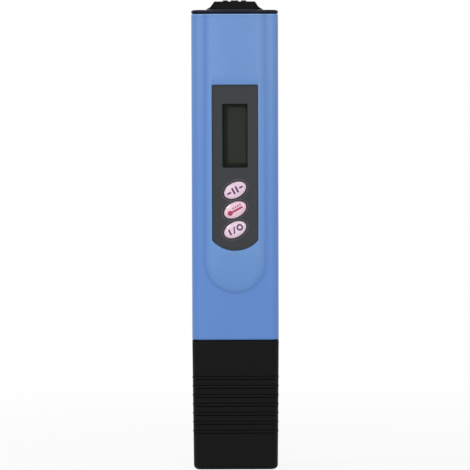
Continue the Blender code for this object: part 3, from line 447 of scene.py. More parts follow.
def plastic(name, roughness, gloss, grain=GRAIN, depth=GRAIN_DEEP):
    """Plastic with a spark-eroded grain and uneven gloss, not yet coloured, and its broad drifts."""
    finish = Finish(name, {"Specular IOR Level": gloss})
    fine = finish.lumps(grain, detail=3.0)
    broad = finish.lumps(FLOW, detail=3.0, stretch=(1, 1, 0.5))
    finish.feed("Roughness", roughness + swaying(fine, 0.12) + swaying(broad, 0.08))
    finish.relief(fine, depth)
    return finish, broad


def drifting(finish, share, base, drift=0.05):
    return finish.mix(share, shaded(base, 1 - drift), shaded(base, 1 + drift))


def moulded(name, base, **surface):
    """Moulded plastic in one colour."""
    finish, broad = plastic(name, **surface)
    finish.feed("Base Color", drifting(finish, broad, base))
    return finish


def tone_with_painted_light(name, base, other, level, soft, **surface):
    """Plastic with another colour in front of a level: a painted highlight on the panel's raised ridges, or
    painted shade on a slot's floor.
    """
    finish, broad = plastic(name, **surface)
    painted_light_mask = printed(finish.axis("Y") - level, soft)
    finish.tint(painted_light_mask, drifting(finish, broad, base), other)
    return finish


def shell_finish(rim, pale, middle, deep, crease):
    """Blue plastic with painted light: a painted highlight along the top rim, painted shade deepening
    downward beside the raised field, a painted sheen on that field, and painted shade in the crease round
    it.
    """
    finish, broad = plastic("blue_shell", roughness=0.31, gloss=0.45)
    z = finish.axis("Z")
    away = disc(finish.axis("X"), lesser(z - CROWN_END, 0), (0, 0), CROWN_HALF)
    front = printed(finish.axis("Y") - PARTING, TINY)
    # painted shade beside the crown lower down, and a painted sheen on the raised field there; above, one
    # tone all across
    height = ramp(z, PAINTED_SHADE_LOW, PAINTED_SHADE_HIGH - PAINTED_SHADE_LOW)
    raised = printed(away, CREASE_WIDE) * front
    lower = finish.mix(raised, drifting(finish, broad, deep), drifting(finish, broad, middle))
    tone = finish.mix(height, lower, drifting(finish, broad, pale))
    # painted shade along the crease round the crown
    line = printed(abs(away) - CREASE_WIDE / 2, CREASE_WIDE) * front
    tone = finish.mix(line * CREASE_SHADE_SHARE, tone, crease)
    # painted highlight along the top rim, where light from above catches the edge
    top = printed(CASE_TOP - RIM_HIGHLIGHT - z, RIM_HIGHLIGHT)
    finish.tint(top, tone, rim)
    return finish


def metal(name, base, roughness, stretch):
    """Rolled or drawn metal: hairlines along the way it was worked, and dull patches."""
    finish = Finish(name, {"Metallic": 1.0})
    lines = finish.lumps(HAIRLINE, stretch=stretch)
    patches = finish.lumps(DULL_PATCH, detail=3.0)
    finish.tint(patches, shaded(base, 0.86), base)
    finish.feed("Roughness", roughness + swaying(lines, 0.15) + swaying(patches, 0.1))
    finish.relief(lines, HAIRLINE_DEEP)
    return finish


def greater(first, second):
    return first.maths("MAXIMUM", first, second)


def lesser(first, second):
    return first.maths("MINIMUM", first, second)


def bar(u, v, centre, half):
    """Distance to a bar with a centre and half sizes, below 0 inside it."""
    return greater(abs(u - centre[0]) - half[0], abs(v - centre[1]) - half[1])


def disc(u, v, centre, radius):
    """Distance to a disc, below 0 inside it."""
    across = u - centre[0]
    up = v - centre[1]
    square = across * across + up * up
    return square.maths("SQRT", square) - radius


def printed(distance, soft):
    """1 at distances below 0, such as inside a mark, and 0 beyond, with a soft edge."""
    return distance.maths("MULTIPLY_ADD", distance, -1 / soft, 0.5, clamp=True)


def pause_mark(u, v):
    """Two upright bars between two dashes, for holding the reading."""
    return lesser(bar(abs(u), v, *PAUSE_BAR), bar(abs(u), v, *PAUSE_DASH))


def thermometer_mark(u, v):
    """A thermometer lying along the key, with its bulb on the left and degree ticks above."""
    mark = lesser(disc(u, v, *THERMOMETER_BULB), bar(u, v, *THERMOMETER_STEM))
    for place in TICK_PLACES:
        mark = lesser(mark, bar(u, v, place, TICK_HALF))
    return mark


def switch_mark(u, v):
    """A line and a circle, for on and off, with a stroke between them."""
    on = bar(u, v, *SWITCH_LINE)
    off = abs(disc(u, v, *SWITCH_RING)) - SWITCH_RING_HALF
    stroke = bar(u - v * SWITCH_LEAN, v, *SWITCH_STROKE)
    return lesser(lesser(on, off), stroke)


def key_finish(name, level, base, ink, draw):
    """Glossy lavender plastic with one mark printed along the tilted key."""
    finish = Finish(name, {"Specular IOR Level": 0.1, "Coat Weight": 1.0, "Coat Roughness": 0.08})
    across = finish.axis("X") * (1 / MM)
    up = (finish.axis("Z") - level) * (1 / MM)
    u = across * math.cos(KEY_TILT) + up * math.sin(KEY_TILT)
    v = up * math.cos(KEY_TILT) - across * math.sin(KEY_TILT)
    fine = finish.lumps(KEY_GRAIN)
    broad = finish.lumps(KEY_CLOUD)
    mark = printed(draw(u, v) + swaying(fine, 0.06), INK_SOFT)
    finish.tint(mark, drifting(finish, broad, base, 0.03), ink)
    finish.feed("Roughness", 0.16 + swaying(broad, 0.04) + mark * 0.2)
    finish.relief(fine * 0.3 + mark, ROUGH_DEEP)
    return finish


def zigzag(value):
    """Runs from 0 up to a half and back again over each 1 of a value."""
    return value.maths("PINGPONG", value, 0.5)


def board_finish():
    """Green solder resist over raised copper tracks, with a weave of glass fibre under it."""
    finish = Finish("circuit_board_green", {"Specular IOR Level": 0.5})
    x = finish.axis("X") * (1 / BOARD_PITCH)
    z = finish.axis("Z") * (1 / BOARD_PITCH)
    wander = finish.lumps(TRACK_WANDER, detail=1.0) * 3
    track = printed(abs(zigzag(x + wander) - 0.25) - 0.09, 0.03)
    weave = greater(zigzag(x * 3), zigzag(z * 3))
    resist = finish.mix(weave, colour(30, 84, 50), colour(36, 96, 58))
    finish.tint(track, resist, colour(62, 132, 78))
    finish.feed("Roughness", 0.42 - track * 0.1)
    finish.relief(track + weave * 0.1, TRACK_DEEP)
    return finish


def lcd_finish(name, base, border):
    """Unlit display glass: a field that darkens softly into its border, partly the display's own dark edge
    and partly painted shadow cast by the window's edge.
    """
    finish = Finish(name, {"Specular IOR Level": 0.05})
    cloud = finish.lumps(GLASS_CLOUD)
    field = drifting(finish, cloud, base, 0.06)
    middle = (FIELD_LOW + FIELD_HIGH) / 2
    half = (FIELD_HIGH - FIELD_LOW) / 2
    inside = printed(bar(finish.axis("X"), finish.axis("Z"), middle, half), FIELD_SOFT)
    finish.tint(inside, border, field)
    finish.feed("Roughness", 0.3 + cloud * 0.08)
    finish.relief(finish.lumps(GLASS_GRAIN), SMOOTH_DEEP)
    return finish


def window_finish():
    """Clear moulded plastic, seen mainly by its gloss and its faint tint at the rim."""
    finish = Finish("window_clear", {"Alpha": 0.06, "Specular IOR Level": 0.15})
    cloud = finish.lumps(WINDOW_CLOUD)
    finish.tint(cloud, colour(58, 64, 58), colour(70, 76, 70))
    finish.feed("Roughness", 0.05 + cloud * 0.05)
    return finish


def striped_rubber():
    """Connector rubber with fine conducting layers, black and pale by turns."""
    finish = Finish("connector_rubber", {"Specular IOR Level": 0.3})
    z = finish.axis("Z") * (1 / ZEBRA_PITCH)
    layer = printed(abs(zigzag(z) - 0.25) - 0.12, 0.05)
    finish.tint(layer, colour(196, 190, 184), colour(32, 32, 34))
    finish.feed("Roughness", 0.7 + layer * 0.15)
    finish.relief(layer, ROUGH_DEEP)
    return finish


# Blue tones: painted highlight at the rim, the top, painted sheen on the raised field lower down, painted
# shade beside it lower down, painted shade in the crease
BLUE_TONES_WITH_PAINTED_LIGHT = ((128, 166, 220), (97, 139, 200), (97, 142, 203), (90, 134, 203), (70, 110, 178))
BLUE = shell_finish(*(colour(*tone) for tone in BLUE_TONES_WITH_PAINTED_LIGHT))
BLACK = moulded("cap_black", colour(19, 19, 19), roughness=0.5, gloss=0.06, depth=COARSE_DEEP)
CLIP_BLACK = moulded("clip_black", colour(16, 17, 18), roughness=0.42, gloss=0.05, depth=COARSE_DEEP)
PROBE_BLACK = moulded("probe_black", colour(30, 30, 32), roughness=0.38, gloss=0.3)
COVER_BLACK = moulded(
    "cover_gloss_black", colour(6, 14, 30), roughness=0.12, gloss=0.13, grain=2 * MM, depth=2 * SMOOTH_DEEP
)
RIDGE_MIDDLE = PANEL_LOW.y - RIDGE_RISE / 2
# The paler grey is a painted highlight on the raised ridges round the keys
PANEL_TONES_WITH_RIDGE_HIGHLIGHT = (colour(63, 64, 65), colour(92, 90, 95))
PANEL = tone_with_painted_light(
    "panel_grey", *PANEL_TONES_WITH_RIDGE_HIGHLIGHT, RIDGE_MIDDLE, RIDGE_RISE / 2, roughness=0.6, gloss=0.1, depth=COARSE_DEEP
)
INK_PURPLE = colour(86, 30, 88)
INK_RED = colour(172, 48, 90)
KEY_MARKS = {
    "hold": (colour(231, 203, 222), INK_PURPLE, pause_mark),
    "temp": (colour(235, 199, 216), INK_RED, thermometer_mark),
    "power": (colour(231, 205, 222), INK_PURPLE, switch_mark),
}
LCD_GLASS = moulded("lcd_glass_edge", colour(24, 27, 20), roughness=0.3, gloss=0.05, depth=SMOOTH_DEEP)
# The border colour is partly painted shadow cast by the window's edge
LCD_FILM = lcd_finish("lcd_film", colour(49, 54, 47), colour(19, 21, 14))
EPOXY = moulded("chip_epoxy", colour(24, 24, 26), roughness=0.4, gloss=0.3, depth=ROUGH_DEEP)
WHITE = moulded("frame_white", colour(214, 213, 206), roughness=0.5, gloss=0.4)
SEAL = moulded("seal_rubber", colour(40, 40, 42), roughness=0.72, gloss=0.2, depth=ROUGH_DEEP)
FOAM = moulded("surround_foam", colour(12, 12, 12), roughness=0.85, gloss=0.05, depth=2 * ROUGH_DEEP)
STEEL = metal("pin_steel", colour(192, 194, 196), roughness=0.26, stretch=(6, 6, 0.4))
CELL = metal("cell_nickel", colour(204, 203, 198), roughness=0.24, stretch=(1, 1, 1))
BRASS = metal("spring_brass", colour(208, 178, 104), roughness=0.3, stretch=(6, 6, 0.5))
RED_LEAD = moulded("lead_red", colour(172, 38, 34), roughness=0.42, gloss=0.4)
BLACK_LEAD = moulded("lead_black", colour(28, 28, 30), roughness=0.42, gloss=0.3)
TRIMMER = moulded("trimmer_blue", colour(34, 82, 166), roughness=0.45, gloss=0.4)
SLOT_LEVEL = corners("trimmer_rotor")[1].y - SLOT_SHADE
# The dark tone is painted shade on the floor of the trimmer's cross slot
ROTOR_TONES_WITH_SLOT_SHADE = (colour(228, 226, 218), colour(46, 44, 42))
ROTOR = tone_with_painted_light("trimmer_white", *ROTOR_TONES_WITH_SLOT_SHADE, SLOT_LEVEL, SLOT_SHADE, roughness=0.45, gloss=0.4)

# The finish of every CAD node that is shown as it is
CAD_FINISHES = (
    (window_finish(), "display_window"),
    (LCD_GLASS, "lcd_panel"),
    (WHITE, "lcd_frame"),
    (striped_rubber(), "zebra_strip_left", "zebra_strip_right"),
    (board_finish(), "circuit_board"),
    (EPOXY, "controller_chip", "amplifier_chip", "thermistor"),
    (EPOXY, "plunger_hold", "plunger_temp", "plunger_power"),
    (STEEL, "switch_hold", "switch_temp", "switch_power", "electrode_left", "electrode_right"),
    (TRIMMER, "trimmer_body"),
    (ROTOR, "trimmer_rotor"),
    (BRASS, "contact_positive", "contact_negative", "battery_link"),
    (CELL, "battery_cell_lower", "battery_cell_upper"),
    (SEAL, "probe_seal"),
    (RED_LEAD, "electrode_lead_left"),
    (BLACK_LEAD, "electrode_lead_right", "thermistor_lead"),
)
for finish, *nodes in CAD_FINISHES:
    for node in nodes:
        for material_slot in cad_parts[node].material_slots:
            material_slot.material = finish.material


# Shapes


def verts_of(items):
    return [item for item in items if isinstance(item, bmesh.types.BMVert)]


def everything(bm):
    return bm.verts[:] + bm.edges[:] + bm.faces[:]


def soften(bm, parts, width, steps=3, affect="EDGES"):
    """Rounds edges, or the corners of an outline, with a bevel."""
    bmesh.ops.bevel(
        bm,
        geom=parts,
        offset=width,
        offset_type="OFFSET",
        affect=affect,
        segments=steps,
        profile=0.5,
        material=-1,
        clamp_overlap=False,
    )


def sharp_edges(bm, wanted):
    """The sharp edges whose middle passes a test."""
    sharp = [edge for edge in bm.edges if edge.calc_face_angle(0) > SHARP]
    return [edge for edge in sharp if wanted((edge.verts[0].co + edge.verts[1].co) / 2)]


def block(low, high):
    bm = bmesh.new()
    size = Vector(high) - Vector(low)
    middle = (Vector(high) + Vector(low)) / 2
    bmesh.ops.create_cube(bm, size=1, matrix=Matrix.LocRotScale(middle, None, size))
    return bm


def wide_block(bottom, top):
    """A block that reaches well past the case on all sides."""
    far = 2 * HALF_WIDE
    return block((-far, -far, bottom), (far, far, top))


def along(edges, axis):
    """The edges of a block that run along an axis."""
    return [edge for edge in edges if abs((edge.verts[0].co - edge.verts[1].co)[axis]) > TINY]


def rim_of(bm):
    return [edge for edge in bm.edges if edge.is_boundary]


def rounded_block(low, high, axis, corner, steps=CORNER_STEPS):
    """A block whose four edges along an axis are rounded."""
    bm = block(low, high)
    soften(bm, along(bm.edges, axis), corner, steps)
    return bm


def slab_ring(bm, width, depth, corner, z):
    """A level loop of edges with the slab's rounded section."""
    before = set(bm.edges)
    matrix = Matrix.LocRotScale((0, 0, z), None, (width, depth, 1))
    made = bmesh.ops.create_grid(bm, x_segments=1, y_segments=1, size=0.5, matrix=matrix)
    soften(bm, made["verts"], corner, CORNER_STEPS, "VERTICES")
    ring = [edge for edge in bm.edges if edge not in before]
    faces = {face for edge in ring for face in edge.link_faces}
    bmesh.ops.delete(bm, geom=list(faces), context="FACES_ONLY")
    return ring


def oval_ring(bm, long, short, y, level, tilt=0.0):
    """A loop of edges round an oval that faces forward."""
    before = set(bm.edges)
    turn = Matrix.Rotation(-tilt, 4, "Y") @ Matrix.Rotation(math.pi / 2, 4, "X")
    matrix = Matrix.Translation((0, y, level)) @ turn @ Matrix.Diagonal((long, short, 1, 1))
    bmesh.ops.create_circle(bm, cap_ends=False, segments=OVAL_STEPS, radius=1, matrix=matrix)
    return [edge for edge in bm.edges if edge not in before]


def skin(bm, rings):
    """Bridges a stack of loops and closes its two ends."""
    for lower, upper in zip(rings, rings[1:]):
        bmesh.ops.bridge_loops(bm, edges=lower + upper)
    for ring in (rings[0], rings[-1]):
        bmesh.ops.edgeloop_fill(bm, edges=ring)
    return bm


def oval_rod(long, short, front, back, level, tilt=0.0):
    bm = bmesh.new()
    return skin(bm, [oval_ring(bm, long, short, y, level, tilt) for y in (front, back)])


def drawn_block(points, axis, start, end):
    """A block thick along an axis, with an outline drawn on the other two and a rounding at each corner."""
    bm = bmesh.new()
    verts = []
    for point in points:
        place = list(point[:2])
        place.insert(axis, start)
        verts.append(bm.verts.new(place))
    bm.faces.new(verts)
    for vert, point in zip(verts, points):
        rounding = point[2]
        if rounding:
            soften(bm, [vert], rounding, BEND_STEPS, "VERTICES")
    shift = [0, 0, 0]
    shift[axis] = end - start
    made = bmesh.ops.extrude_face_region(bm, geom=bm.faces[:])
    bmesh.ops.translate(bm, verts=verts_of(made["geom"]), vec=shift)
    return bm


def mirrored(points):
    """An outline from its right half."""
    return [*points, *((-x, z, rounding) for x, z, rounding in reversed(points))]


def new_object(name, bm):
    mesh = bpy.data.meshes.new(name)
    bm.to_mesh(mesh)
    bm.free()
    made = bpy.data.objects.new(name, mesh)
    bpy.context.scene.collection.objects.link(made)
    return made


def solid_object(name, bm):
    bmesh.ops.recalc_face_normals(bm, faces=bm.faces)
    return new_object(name, bm)


def joins(*shapes):
    return [("UNION", shape) for shape in shapes]


def cuts(*shapes):
    return [("DIFFERENCE", shape) for shape in shapes]


def combine(bm, steps):
    """Joins or cuts a shape with others in turn, each given as an operation and a shape."""
    body = solid_object("loose", bm)
    tools = []
    for operation, tool in steps:
        tools.append(solid_object("loose", tool))
        modifier = body.modifiers.new(operation, "BOOLEAN")
        modifier.operation = operation
        modifier.solver = "EXACT"
        modifier.object = tools[-1]
    bpy.context.view_layer.update()
    evaluated = body.evaluated_get(bpy.context.evaluated_depsgraph_get())
    result = bmesh.new()
    result.from_mesh(evaluated.to_mesh())
    evaluated.to_mesh_clear()
    for used in (body, *tools):
        mesh = used.data
        bpy.data.objects.remove(used)
        bpy.data.meshes.remove(mesh)
    bmesh.ops.remove_doubles(result, verts=result.verts, dist=TOUCHING)
    bmesh.ops.dissolve_degenerate(result, edges=result.edges, dist=TOUCHING)
    return result


def piece(name, bm, finish, body, slot, *nodes, flat=True):
    """Keeps a finished shape, which rides on a body and stands for the nodes it replaces."""
    made = solid_object(name, bm)
    made.data.shade_smooth()
    made.data.set_sharp_from_angle(angle=SHARP)
    made.data.materials.append(finish.material)
    if flat:
        shading = made.modifiers.new("even_shading", "WEIGHTED_NORMAL")
        shading.keep_sharp = True
    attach(made, body)
    if nodes:
        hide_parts(*nodes)
    return made


# Case


def crown_line():
    """(distance from the middle, height) over the crown: bowed field, round shoulder, hollow skirt."""
    slope = CROWN_POWER * CROWN_STEP / CROWN_ROUND + 2 * CROWN_BOW / CROWN_HALF
    lift = CROWN_FOOT + slope * CROWN_SKIRT / 2
    shares = [i / CROWN_STEPS for i in range(CROWN_STEPS)]
    stations = [((CROWN_HALF - CROWN_ROUND) * share, 0.0) for share in shares]
    stations += [(CROWN_HALF - CROWN_ROUND * (1 - share), share) for share in (*shares, 1.0)]
    line = []
    for x, share in stations:
        bow = CROWN_BOW * (1 - (x / CROWN_HALF) ** 2)
        line.append((x, lift + bow + CROWN_STEP * (1 - share**CROWN_POWER)))
    for i in range(CROWN_SKIRT_STEPS):
        share = (i + 1) / CROWN_SKIRT_STEPS
        line.append((CROWN_HALF + CROWN_SKIRT * share, CROWN_FOOT + (lift - CROWN_FOOT) * (1 - share) ** 2))
    return line


def crown():
    """The raised field: half its section turned round the lower end, then drawn up past the top."""
    bm = bmesh.new()
    behind = FRONT_FACE + WALL / 2
    section = [(x, FRONT_FACE - height) for x, height in crown_line()]
    section += [(section[-1][0], behind), (0, behind)]
    verts = [bm.verts.new((x, y, CROWN_END)) for x, y in section]
    edges = [bm.edges.new(pair) for pair in zip(verts, verts[1:])]
    bmesh.ops.spin(
        bm,
        geom=verts + edges,
        cent=(0, 0, CROWN_END),
        axis=(0, 1, 0),
        angle=math.pi,
        steps=CROWN_TURN_STEPS,
    )
    bmesh.ops.remove_doubles(bm, verts=bm.verts, dist=TOUCHING)
    made = bmesh.ops.extrude_edge_only(bm, edges=rim_of(bm))["geom"]
    bmesh.ops.translate(bm, verts=verts_of(made), vec=(0, 0, CASE_TOP + OVERRUN - CROWN_END))
    bmesh.ops.holes_fill(bm, edges=rim_of(bm))
    return bm


def crowned_ring(bm, inset, z):
    """A level loop with the case's section, the crown on its front, drawn in by an inset."""
    before = set(bm.edges)
    ring = slab_ring(bm, 2 * (HALF_WIDE - inset), 2 * (BACK_FACE - inset), CORNER - inset, z)
    front = FRONT_FACE + inset
    on_front = [edge for edge in ring if all(abs(vert.co.y - front) < TINY for vert in edge.verts)]
    straight = max(on_front, key=bmesh.types.BMEdge.calc_length)
    shrink = 1 - inset / CROWN_HALF
    right = [(x * shrink, front - height + CROWN_FOOT) for x, height in crown_line()]
    line = [(-x, y) for x, y in right[:0:-1]] + right
    made = bmesh.ops.subdivide_edges(bm, edges=[straight], cuts=len(line))
    added = sorted(verts_of(made["geom_inner"]), key=lambda vert: vert.co.x)
    for vert, (x, y) in zip(added, line):
        vert.co.x = x
        vert.co.y = y
    return [edge for edge in bm.edges if edge not in before]


def inset_block(inset, bottom, top):
    """A block with the case's section drawn in by an inset."""
    low = (inset - HALF_WIDE, FRONT_FACE + inset, bottom)
    return rounded_block(low, (HALF_WIDE - inset, BACK_FACE - inset, top), UP, CORNER - inset)


def case_half(side, top):
    """The solid front (side -1) or rear (side 1) half of the case."""
    bm = inset_block(0, CASE_BOTTOM, top)
    level = PARTING if side < 0 else PARTING + PARTING_GAP
    bmesh.ops.bisect_plane(
        bm, geom=everything(bm), plane_co=(0, level, 0), plane_no=(0, -side, 0), clear_outer=True
    )
    bmesh.ops.holes_fill(bm, edges=rim_of(bm))
    return bm


def case_inside():
    return inset_block(WALL, CASE_BOTTOM - OVERRUN, CASE_TOP + 2 * OVERRUN)


def panel_block(grow, front, back):
    """The panel's outline: straight sides, small top corners and a lower edge that is one shallow arc."""
    half = PANEL_HALF + grow
    radius = (PANEL_HALF**2 + PANEL_SAG**2) / (2 * PANEL_SAG)
    centre = PANEL_LOW.z + radius
    bm = block((-half, front, PANEL_LOW.z), (half, back, PANEL_HIGH.z + grow))
    lower = [edge for edge in bm.edges if all(vert.co.z < centre for vert in edge.verts)]
    upper = [edge for edge in bm.edges if all(vert.co.z > centre for vert in edge.verts)]
    bottom = along(lower, ACROSS)
    soften(bm, along(upper, DEEP), PANEL_CORNER, PANEL_CORNER_STEPS)
    bmesh.ops.subdivide_edges(bm, edges=bottom, cuts=PANEL_ARC_CUTS, use_grid_fill=True)
    for vert in bm.verts:
        if vert.co.z < centre:
            vert.co.z = centre - math.sqrt((radius + grow) ** 2 - vert.co.x**2)
    return bm


def view_block(grow, front, back):
    low = (-VIEW_HALF - grow, front, VIEW_BOTTOM - grow)
    high = (VIEW_HALF + grow, back, VIEW_TOP + grow)
    return rounded_block(low, high, DEEP, VIEW_CORNER, VIEW_CORNER_STEPS)


def key_holes(front, back):
    long = KEY_LONG + KEY_GAP
    short = KEY_SHORT + KEY_GAP
    return [oval_rod(long, short, front, back, level, KEY_TILT) for level in KEY_LEVELS]


def collar_line():
    """A frame that cuts a fine line round the case a little below its top."""
    top = CASE_TOP - COLLAR_DROP
    low = top - COLLAR_LINE
    core = bmesh.new()
    skin(core, [crowned_ring(core, COLLAR_DEEP, z) for z in (low - OVERRUN, top + OVERRUN)])
    return combine(wide_block(low, top), cuts(core))


def lip_rebate():
    """The step inside the front shell's edge that takes the rear shell's tongues."""
    half = HALF_WIDE - LIP_DEEP
    low = (-half, PARTING - LIP_TALL, CASE_BOTTOM + WALL - SEAT_GAP)
    return block(low, (half, PARTING + OVERRUN, CASE_TOP - WALL + SEAT_GAP))


def lip_tongue(side):
    """One of the rear shell's two tongues, which close the parting line from inside."""
    ends = sorted((side * (HALF_WIDE - WALL + SEAT_GAP / 2), side * (HALF_WIDE - LIP_DEEP - SEAT_GAP)))
    low = (ends[0], PARTING - LIP_TALL + PARTING_GAP, CASE_BOTTOM + WALL)
    return block(low, (ends[1], PARTING + PARTING_GAP + LIP_TALL / 2, CASE_TOP - WALL))


def slice_case(bm):
    """Adds level cuts, closer near the two ends, so that the shading of an end stays near it."""
    room = CASE_TOP - CASE_BOTTOM
    near = [*END_SLICES, *(room - height for height in reversed(END_SLICES))]
    even = [room * (i + 1) / (CASE_SLICES + 1) for i in range(CASE_SLICES)]
    for height in near + even:
        place = (0, 0, CASE_BOTTOM + height)
        bmesh.ops.bisect_plane(bm, geom=everything(bm), plane_co=place, plane_no=(0, 0, 1), dist=TOUCHING)


def keep_case(name, bm, parting, node):
    """Rounds the rims of a half case and its outer edges along the parting line, and keeps it."""

    def on_parting(middle):
        return abs(middle.y - parting) < TINY and abs(middle.x) > HALF_WIDE - TINY

    soften(bm, sharp_edges(bm, lambda middle: abs(middle.z - CASE_TOP) < TINY), RIM_EDGE)
    soften(bm, sharp_edges(bm, lambda middle: abs(middle.z - CASE_BOTTOM) < TINY), FOOT_EDGE)
    soften(bm, sharp_edges(bm, on_parting), PARTING_EDGE)
    slice_case(bm)
    piece(name, bm, BLUE, "case", "blue_plastic", node, flat=False)


def make_front_shell():
    proud = FRONT_FACE - OVERRUN
    through = FRONT_FACE + WALL + OVERRUN
    steps = joins(crown()) + cuts(case_inside())
    steps.append(("INTERSECT", wide_block(CASE_BOTTOM, CASE_TOP)))
    steps += cuts(
        panel_block(PANEL_GAP, proud, POCKET_FLOOR),
        view_block(WINDOW_BORDER + PANEL_GAP, proud, WINDOW_SEAT),
        view_block(0, proud, through),
        *key_holes(proud, through),
        collar_line(),
        lip_rebate(),
    )
    bm = combine(case_half(-1, CASE_TOP + OVERRUN), steps)

    def on_pocket(middle):
        return middle.y < FRONT_FACE - PANEL_GAP and middle.z < PANEL_HIGH.z + WALL

    soften(bm, sharp_edges(bm, on_pocket), POCKET_EDGE)
    keep_case("front_moulding", bm, PARTING, "front_shell")


def make_rear_shell():
    level = level_of("trimmer_rotor")
    hole = oval_rod(TRIM_HOLE, TRIM_HOLE, BACK_FACE - 2 * WALL, BACK_FACE + WALL, level)
    steps = cuts(case_inside(), hole, collar_line()) + joins(lip_tongue(-1), lip_tongue(1))
    bm = combine(case_half(1, CASE_TOP), steps)

    def round_hole(middle):
        return middle.y > BACK_FACE - TINY and abs(middle.z - level) < 2 * TRIM_HOLE

    soften(bm, sharp_edges(bm, round_hole), 2 * RIM_EDGE)
    keep_case("rear_moulding", bm, PARTING + PARTING_GAP, "rear_shell")


def key_ridge(level):
    """A thin raised ridge on the panel that runs round a key."""
    bm = bmesh.new()
    line = []
    for i in range(RIDGE_STEPS + 1):
        turn = math.pi * i / RIDGE_STEPS
        line.append((RIDGE_AWAY - RIDGE_HALF * math.cos(turn), PANEL_LOW.y - RIDGE_RISE * math.sin(turn)))
    line.append((RIDGE_AWAY, PANEL_LOW.y + RIDGE_RISE))
    rings = [oval_ring(bm, KEY_LONG + away, KEY_SHORT + away, y, level, KEY_TILT) for away, y in line]
    for i in range(len(rings)):
        bmesh.ops.bridge_loops(bm, edges=rings[i - 1] + rings[i])
    return bm


def make_front_panel():
    proud = PANEL_LOW.y - OVERRUN
    through = PANEL_HIGH.y + OVERRUN
    steps = cuts(view_block(0, proud, through), *key_holes(proud, through))
    bm = combine(panel_block(0, PANEL_LOW.y, PANEL_HIGH.y), steps)
    soften(bm, sharp_edges(bm, lambda middle: middle.y < PANEL_LOW.y + TINY), PANEL_EDGE)
    bm = combine(bm, joins(*(key_ridge(level) for level in KEY_LEVELS)))
    piece("panel_plate", bm, PANEL, "case", "panel_grey", "front_panel")


def make_lcd_film():
    """The polarising film on the display glass, a little smaller than the window."""
    front = GLASS_FACE - FILM_FRONT
    low = (SURROUND_WIDE - VIEW_HALF, front, VIEW_BOTTOM + SURROUND_WIDE)
    high = (VIEW_HALF - SURROUND_WIDE, GLASS_FACE - FILM_BACK, VIEW_TOP - SURROUND_WIDE)
    bm = rounded_block(low, high, DEEP, VIEW_CORNER, FILM_CORNER_STEPS)
    soften(bm, sharp_edges(bm, lambda middle: middle.y < front + TINY), FILM_EDGE, steps=2)
    piece("lcd_film", bm, LCD_FILM, "case", "lcd_glass")


def make_display_surround():
    """The dark edge round the display: a thin foam frame between the window and the glass."""
    front = WINDOW_HIGH.y + SURROUND_GAP
    back = GLASS_FACE - SURROUND_GAP
    inside = view_block(-SURROUND_WIDE, front - WALL, back + WALL)
    bm = combine(view_block(-SURROUND_GAP, front, back), cuts(inside))
    piece("display_surround", bm, FOAM, "case", "rubber")


def make_key(name, level):
    """A domed oval key on its keeper flange and stem."""
    node = f"button_{name}"
    low, high = corners(node)
    rise = PANEL_LOW.y - low.y
    bm = bmesh.new()
    long = KEY_LONG + KEY_FLANGE
    short = KEY_SHORT + KEY_FLANGE
    sizes = [
        (KEY_STEM, KEY_STEM, high.y),
        (KEY_STEM, KEY_STEM, KEY_FLANGE_BACK),
        (long, short, KEY_FLANGE_BACK - TINY),
        (long, short, KEY_FLANGE_FRONT),
        (KEY_LONG, KEY_SHORT, KEY_FLANGE_FRONT - TINY),
    ]
    line = [(inset, share, 1) for inset, share in zip(KEY_RIM_IN, KEY_RIM_UP)]
    for i in range(1, KEY_DOME_STEPS):
        spread = 1 - i / KEY_DOME_STEPS
        line.append((KEY_RIM_IN[-1], 1 - (1 - KEY_RIM_UP[-1]) * spread**2, spread))
    for inset, share, spread in line:
        y = PANEL_LOW.y - rise * share
        sizes.append(((KEY_LONG - inset) * spread, (KEY_SHORT - inset) * spread, y))
    skin(bm, [oval_ring(bm, wide, tall, y, level, KEY_TILT) for wide, tall, y in sizes])
    finish = key_finish(f"key_{name}", level, *KEY_MARKS[name])
    piece(f"key_{name}", bm, finish, f"{name}_key", "key_lavender", node)


# Battery cover and clip


def clip_peg(grow, bottom, top):
    """The clip's peg, or with some room the slot for it in the cover."""
    wide, deep = (half + grow for half in PEG_HALF)
    return block((-wide, -deep, bottom), (wide, deep, top))


def make_battery_cover():
    """A glossy flange with a rolled edge, a plug that enters the case and a tray for two cells."""
    bm = bmesh.new()
    middle = (FLANGE_TOP + FLANGE_BOTTOM) / 2
    half = (FLANGE_TOP - FLANGE_BOTTOM) / 2
    rings = []
    for i in range(FLANGE_STEPS + 1):
        turn = math.pi * (i / FLANGE_STEPS - 0.5)
        roll = FLANGE_ROLL if turn > 0 else FLANGE_BULGE
        rings.append(crowned_ring(bm, roll * (1 - math.cos(turn)), middle + half * math.sin(turn)))
    skin(bm, rings)
    plug_top = FLANGE_BOTTOM + PLUG_OVERLAP
    levels = [level_of(f"battery_cell_{place}") for place in ("lower", "upper")]
    tray = block((-TRAY_HALF, TRAY_FRONT, levels[0]), (TRAY_HALF, TRAY_RIM, PLUG_BOTTOM + TRAY_OVERLAP))
    tray_end = oval_rod(TRAY_HALF, TRAY_HALF, TRAY_FRONT, TRAY_RIM, levels[0])
    pockets = [oval_rod(CELL_POCKET, CELL_POCKET, TRAY_FLOOR, TRAY_RIM + WALL, level) for level in levels]
    link_low, link_high = corners("battery_link")
    room = 2 * SEAT_GAP
    recess_low = (link_low.x - room, TRAY_FLOOR - SEAT_GAP, link_low.z - room)
    recess_high = (link_high.x + room, corners("battery_cell_lower")[0].y, link_high.z + room)
    recess = rounded_block(recess_low, recess_high, DEEP, LINK_CORNER, LINK_STEPS)
    slot = clip_peg(SEAT_GAP, PEG_BOTTOM - 2 * SEAT_GAP, FLANGE_TOP + WALL)
    steps = joins(
        inset_block(WALL + PLUG_GAP, PLUG_BOTTOM, plug_top),
        inset_block(FLANGE_SEAT_INSET, CASE_TOP + TINY, plug_top),
        tray,
        tray_end,
    )
    bm = combine(bm, steps + cuts(*pockets, recess, slot))
    piece("cover_moulding", bm, COVER_BLACK, "battery_drawer", "gloss_black", "battery_cover")


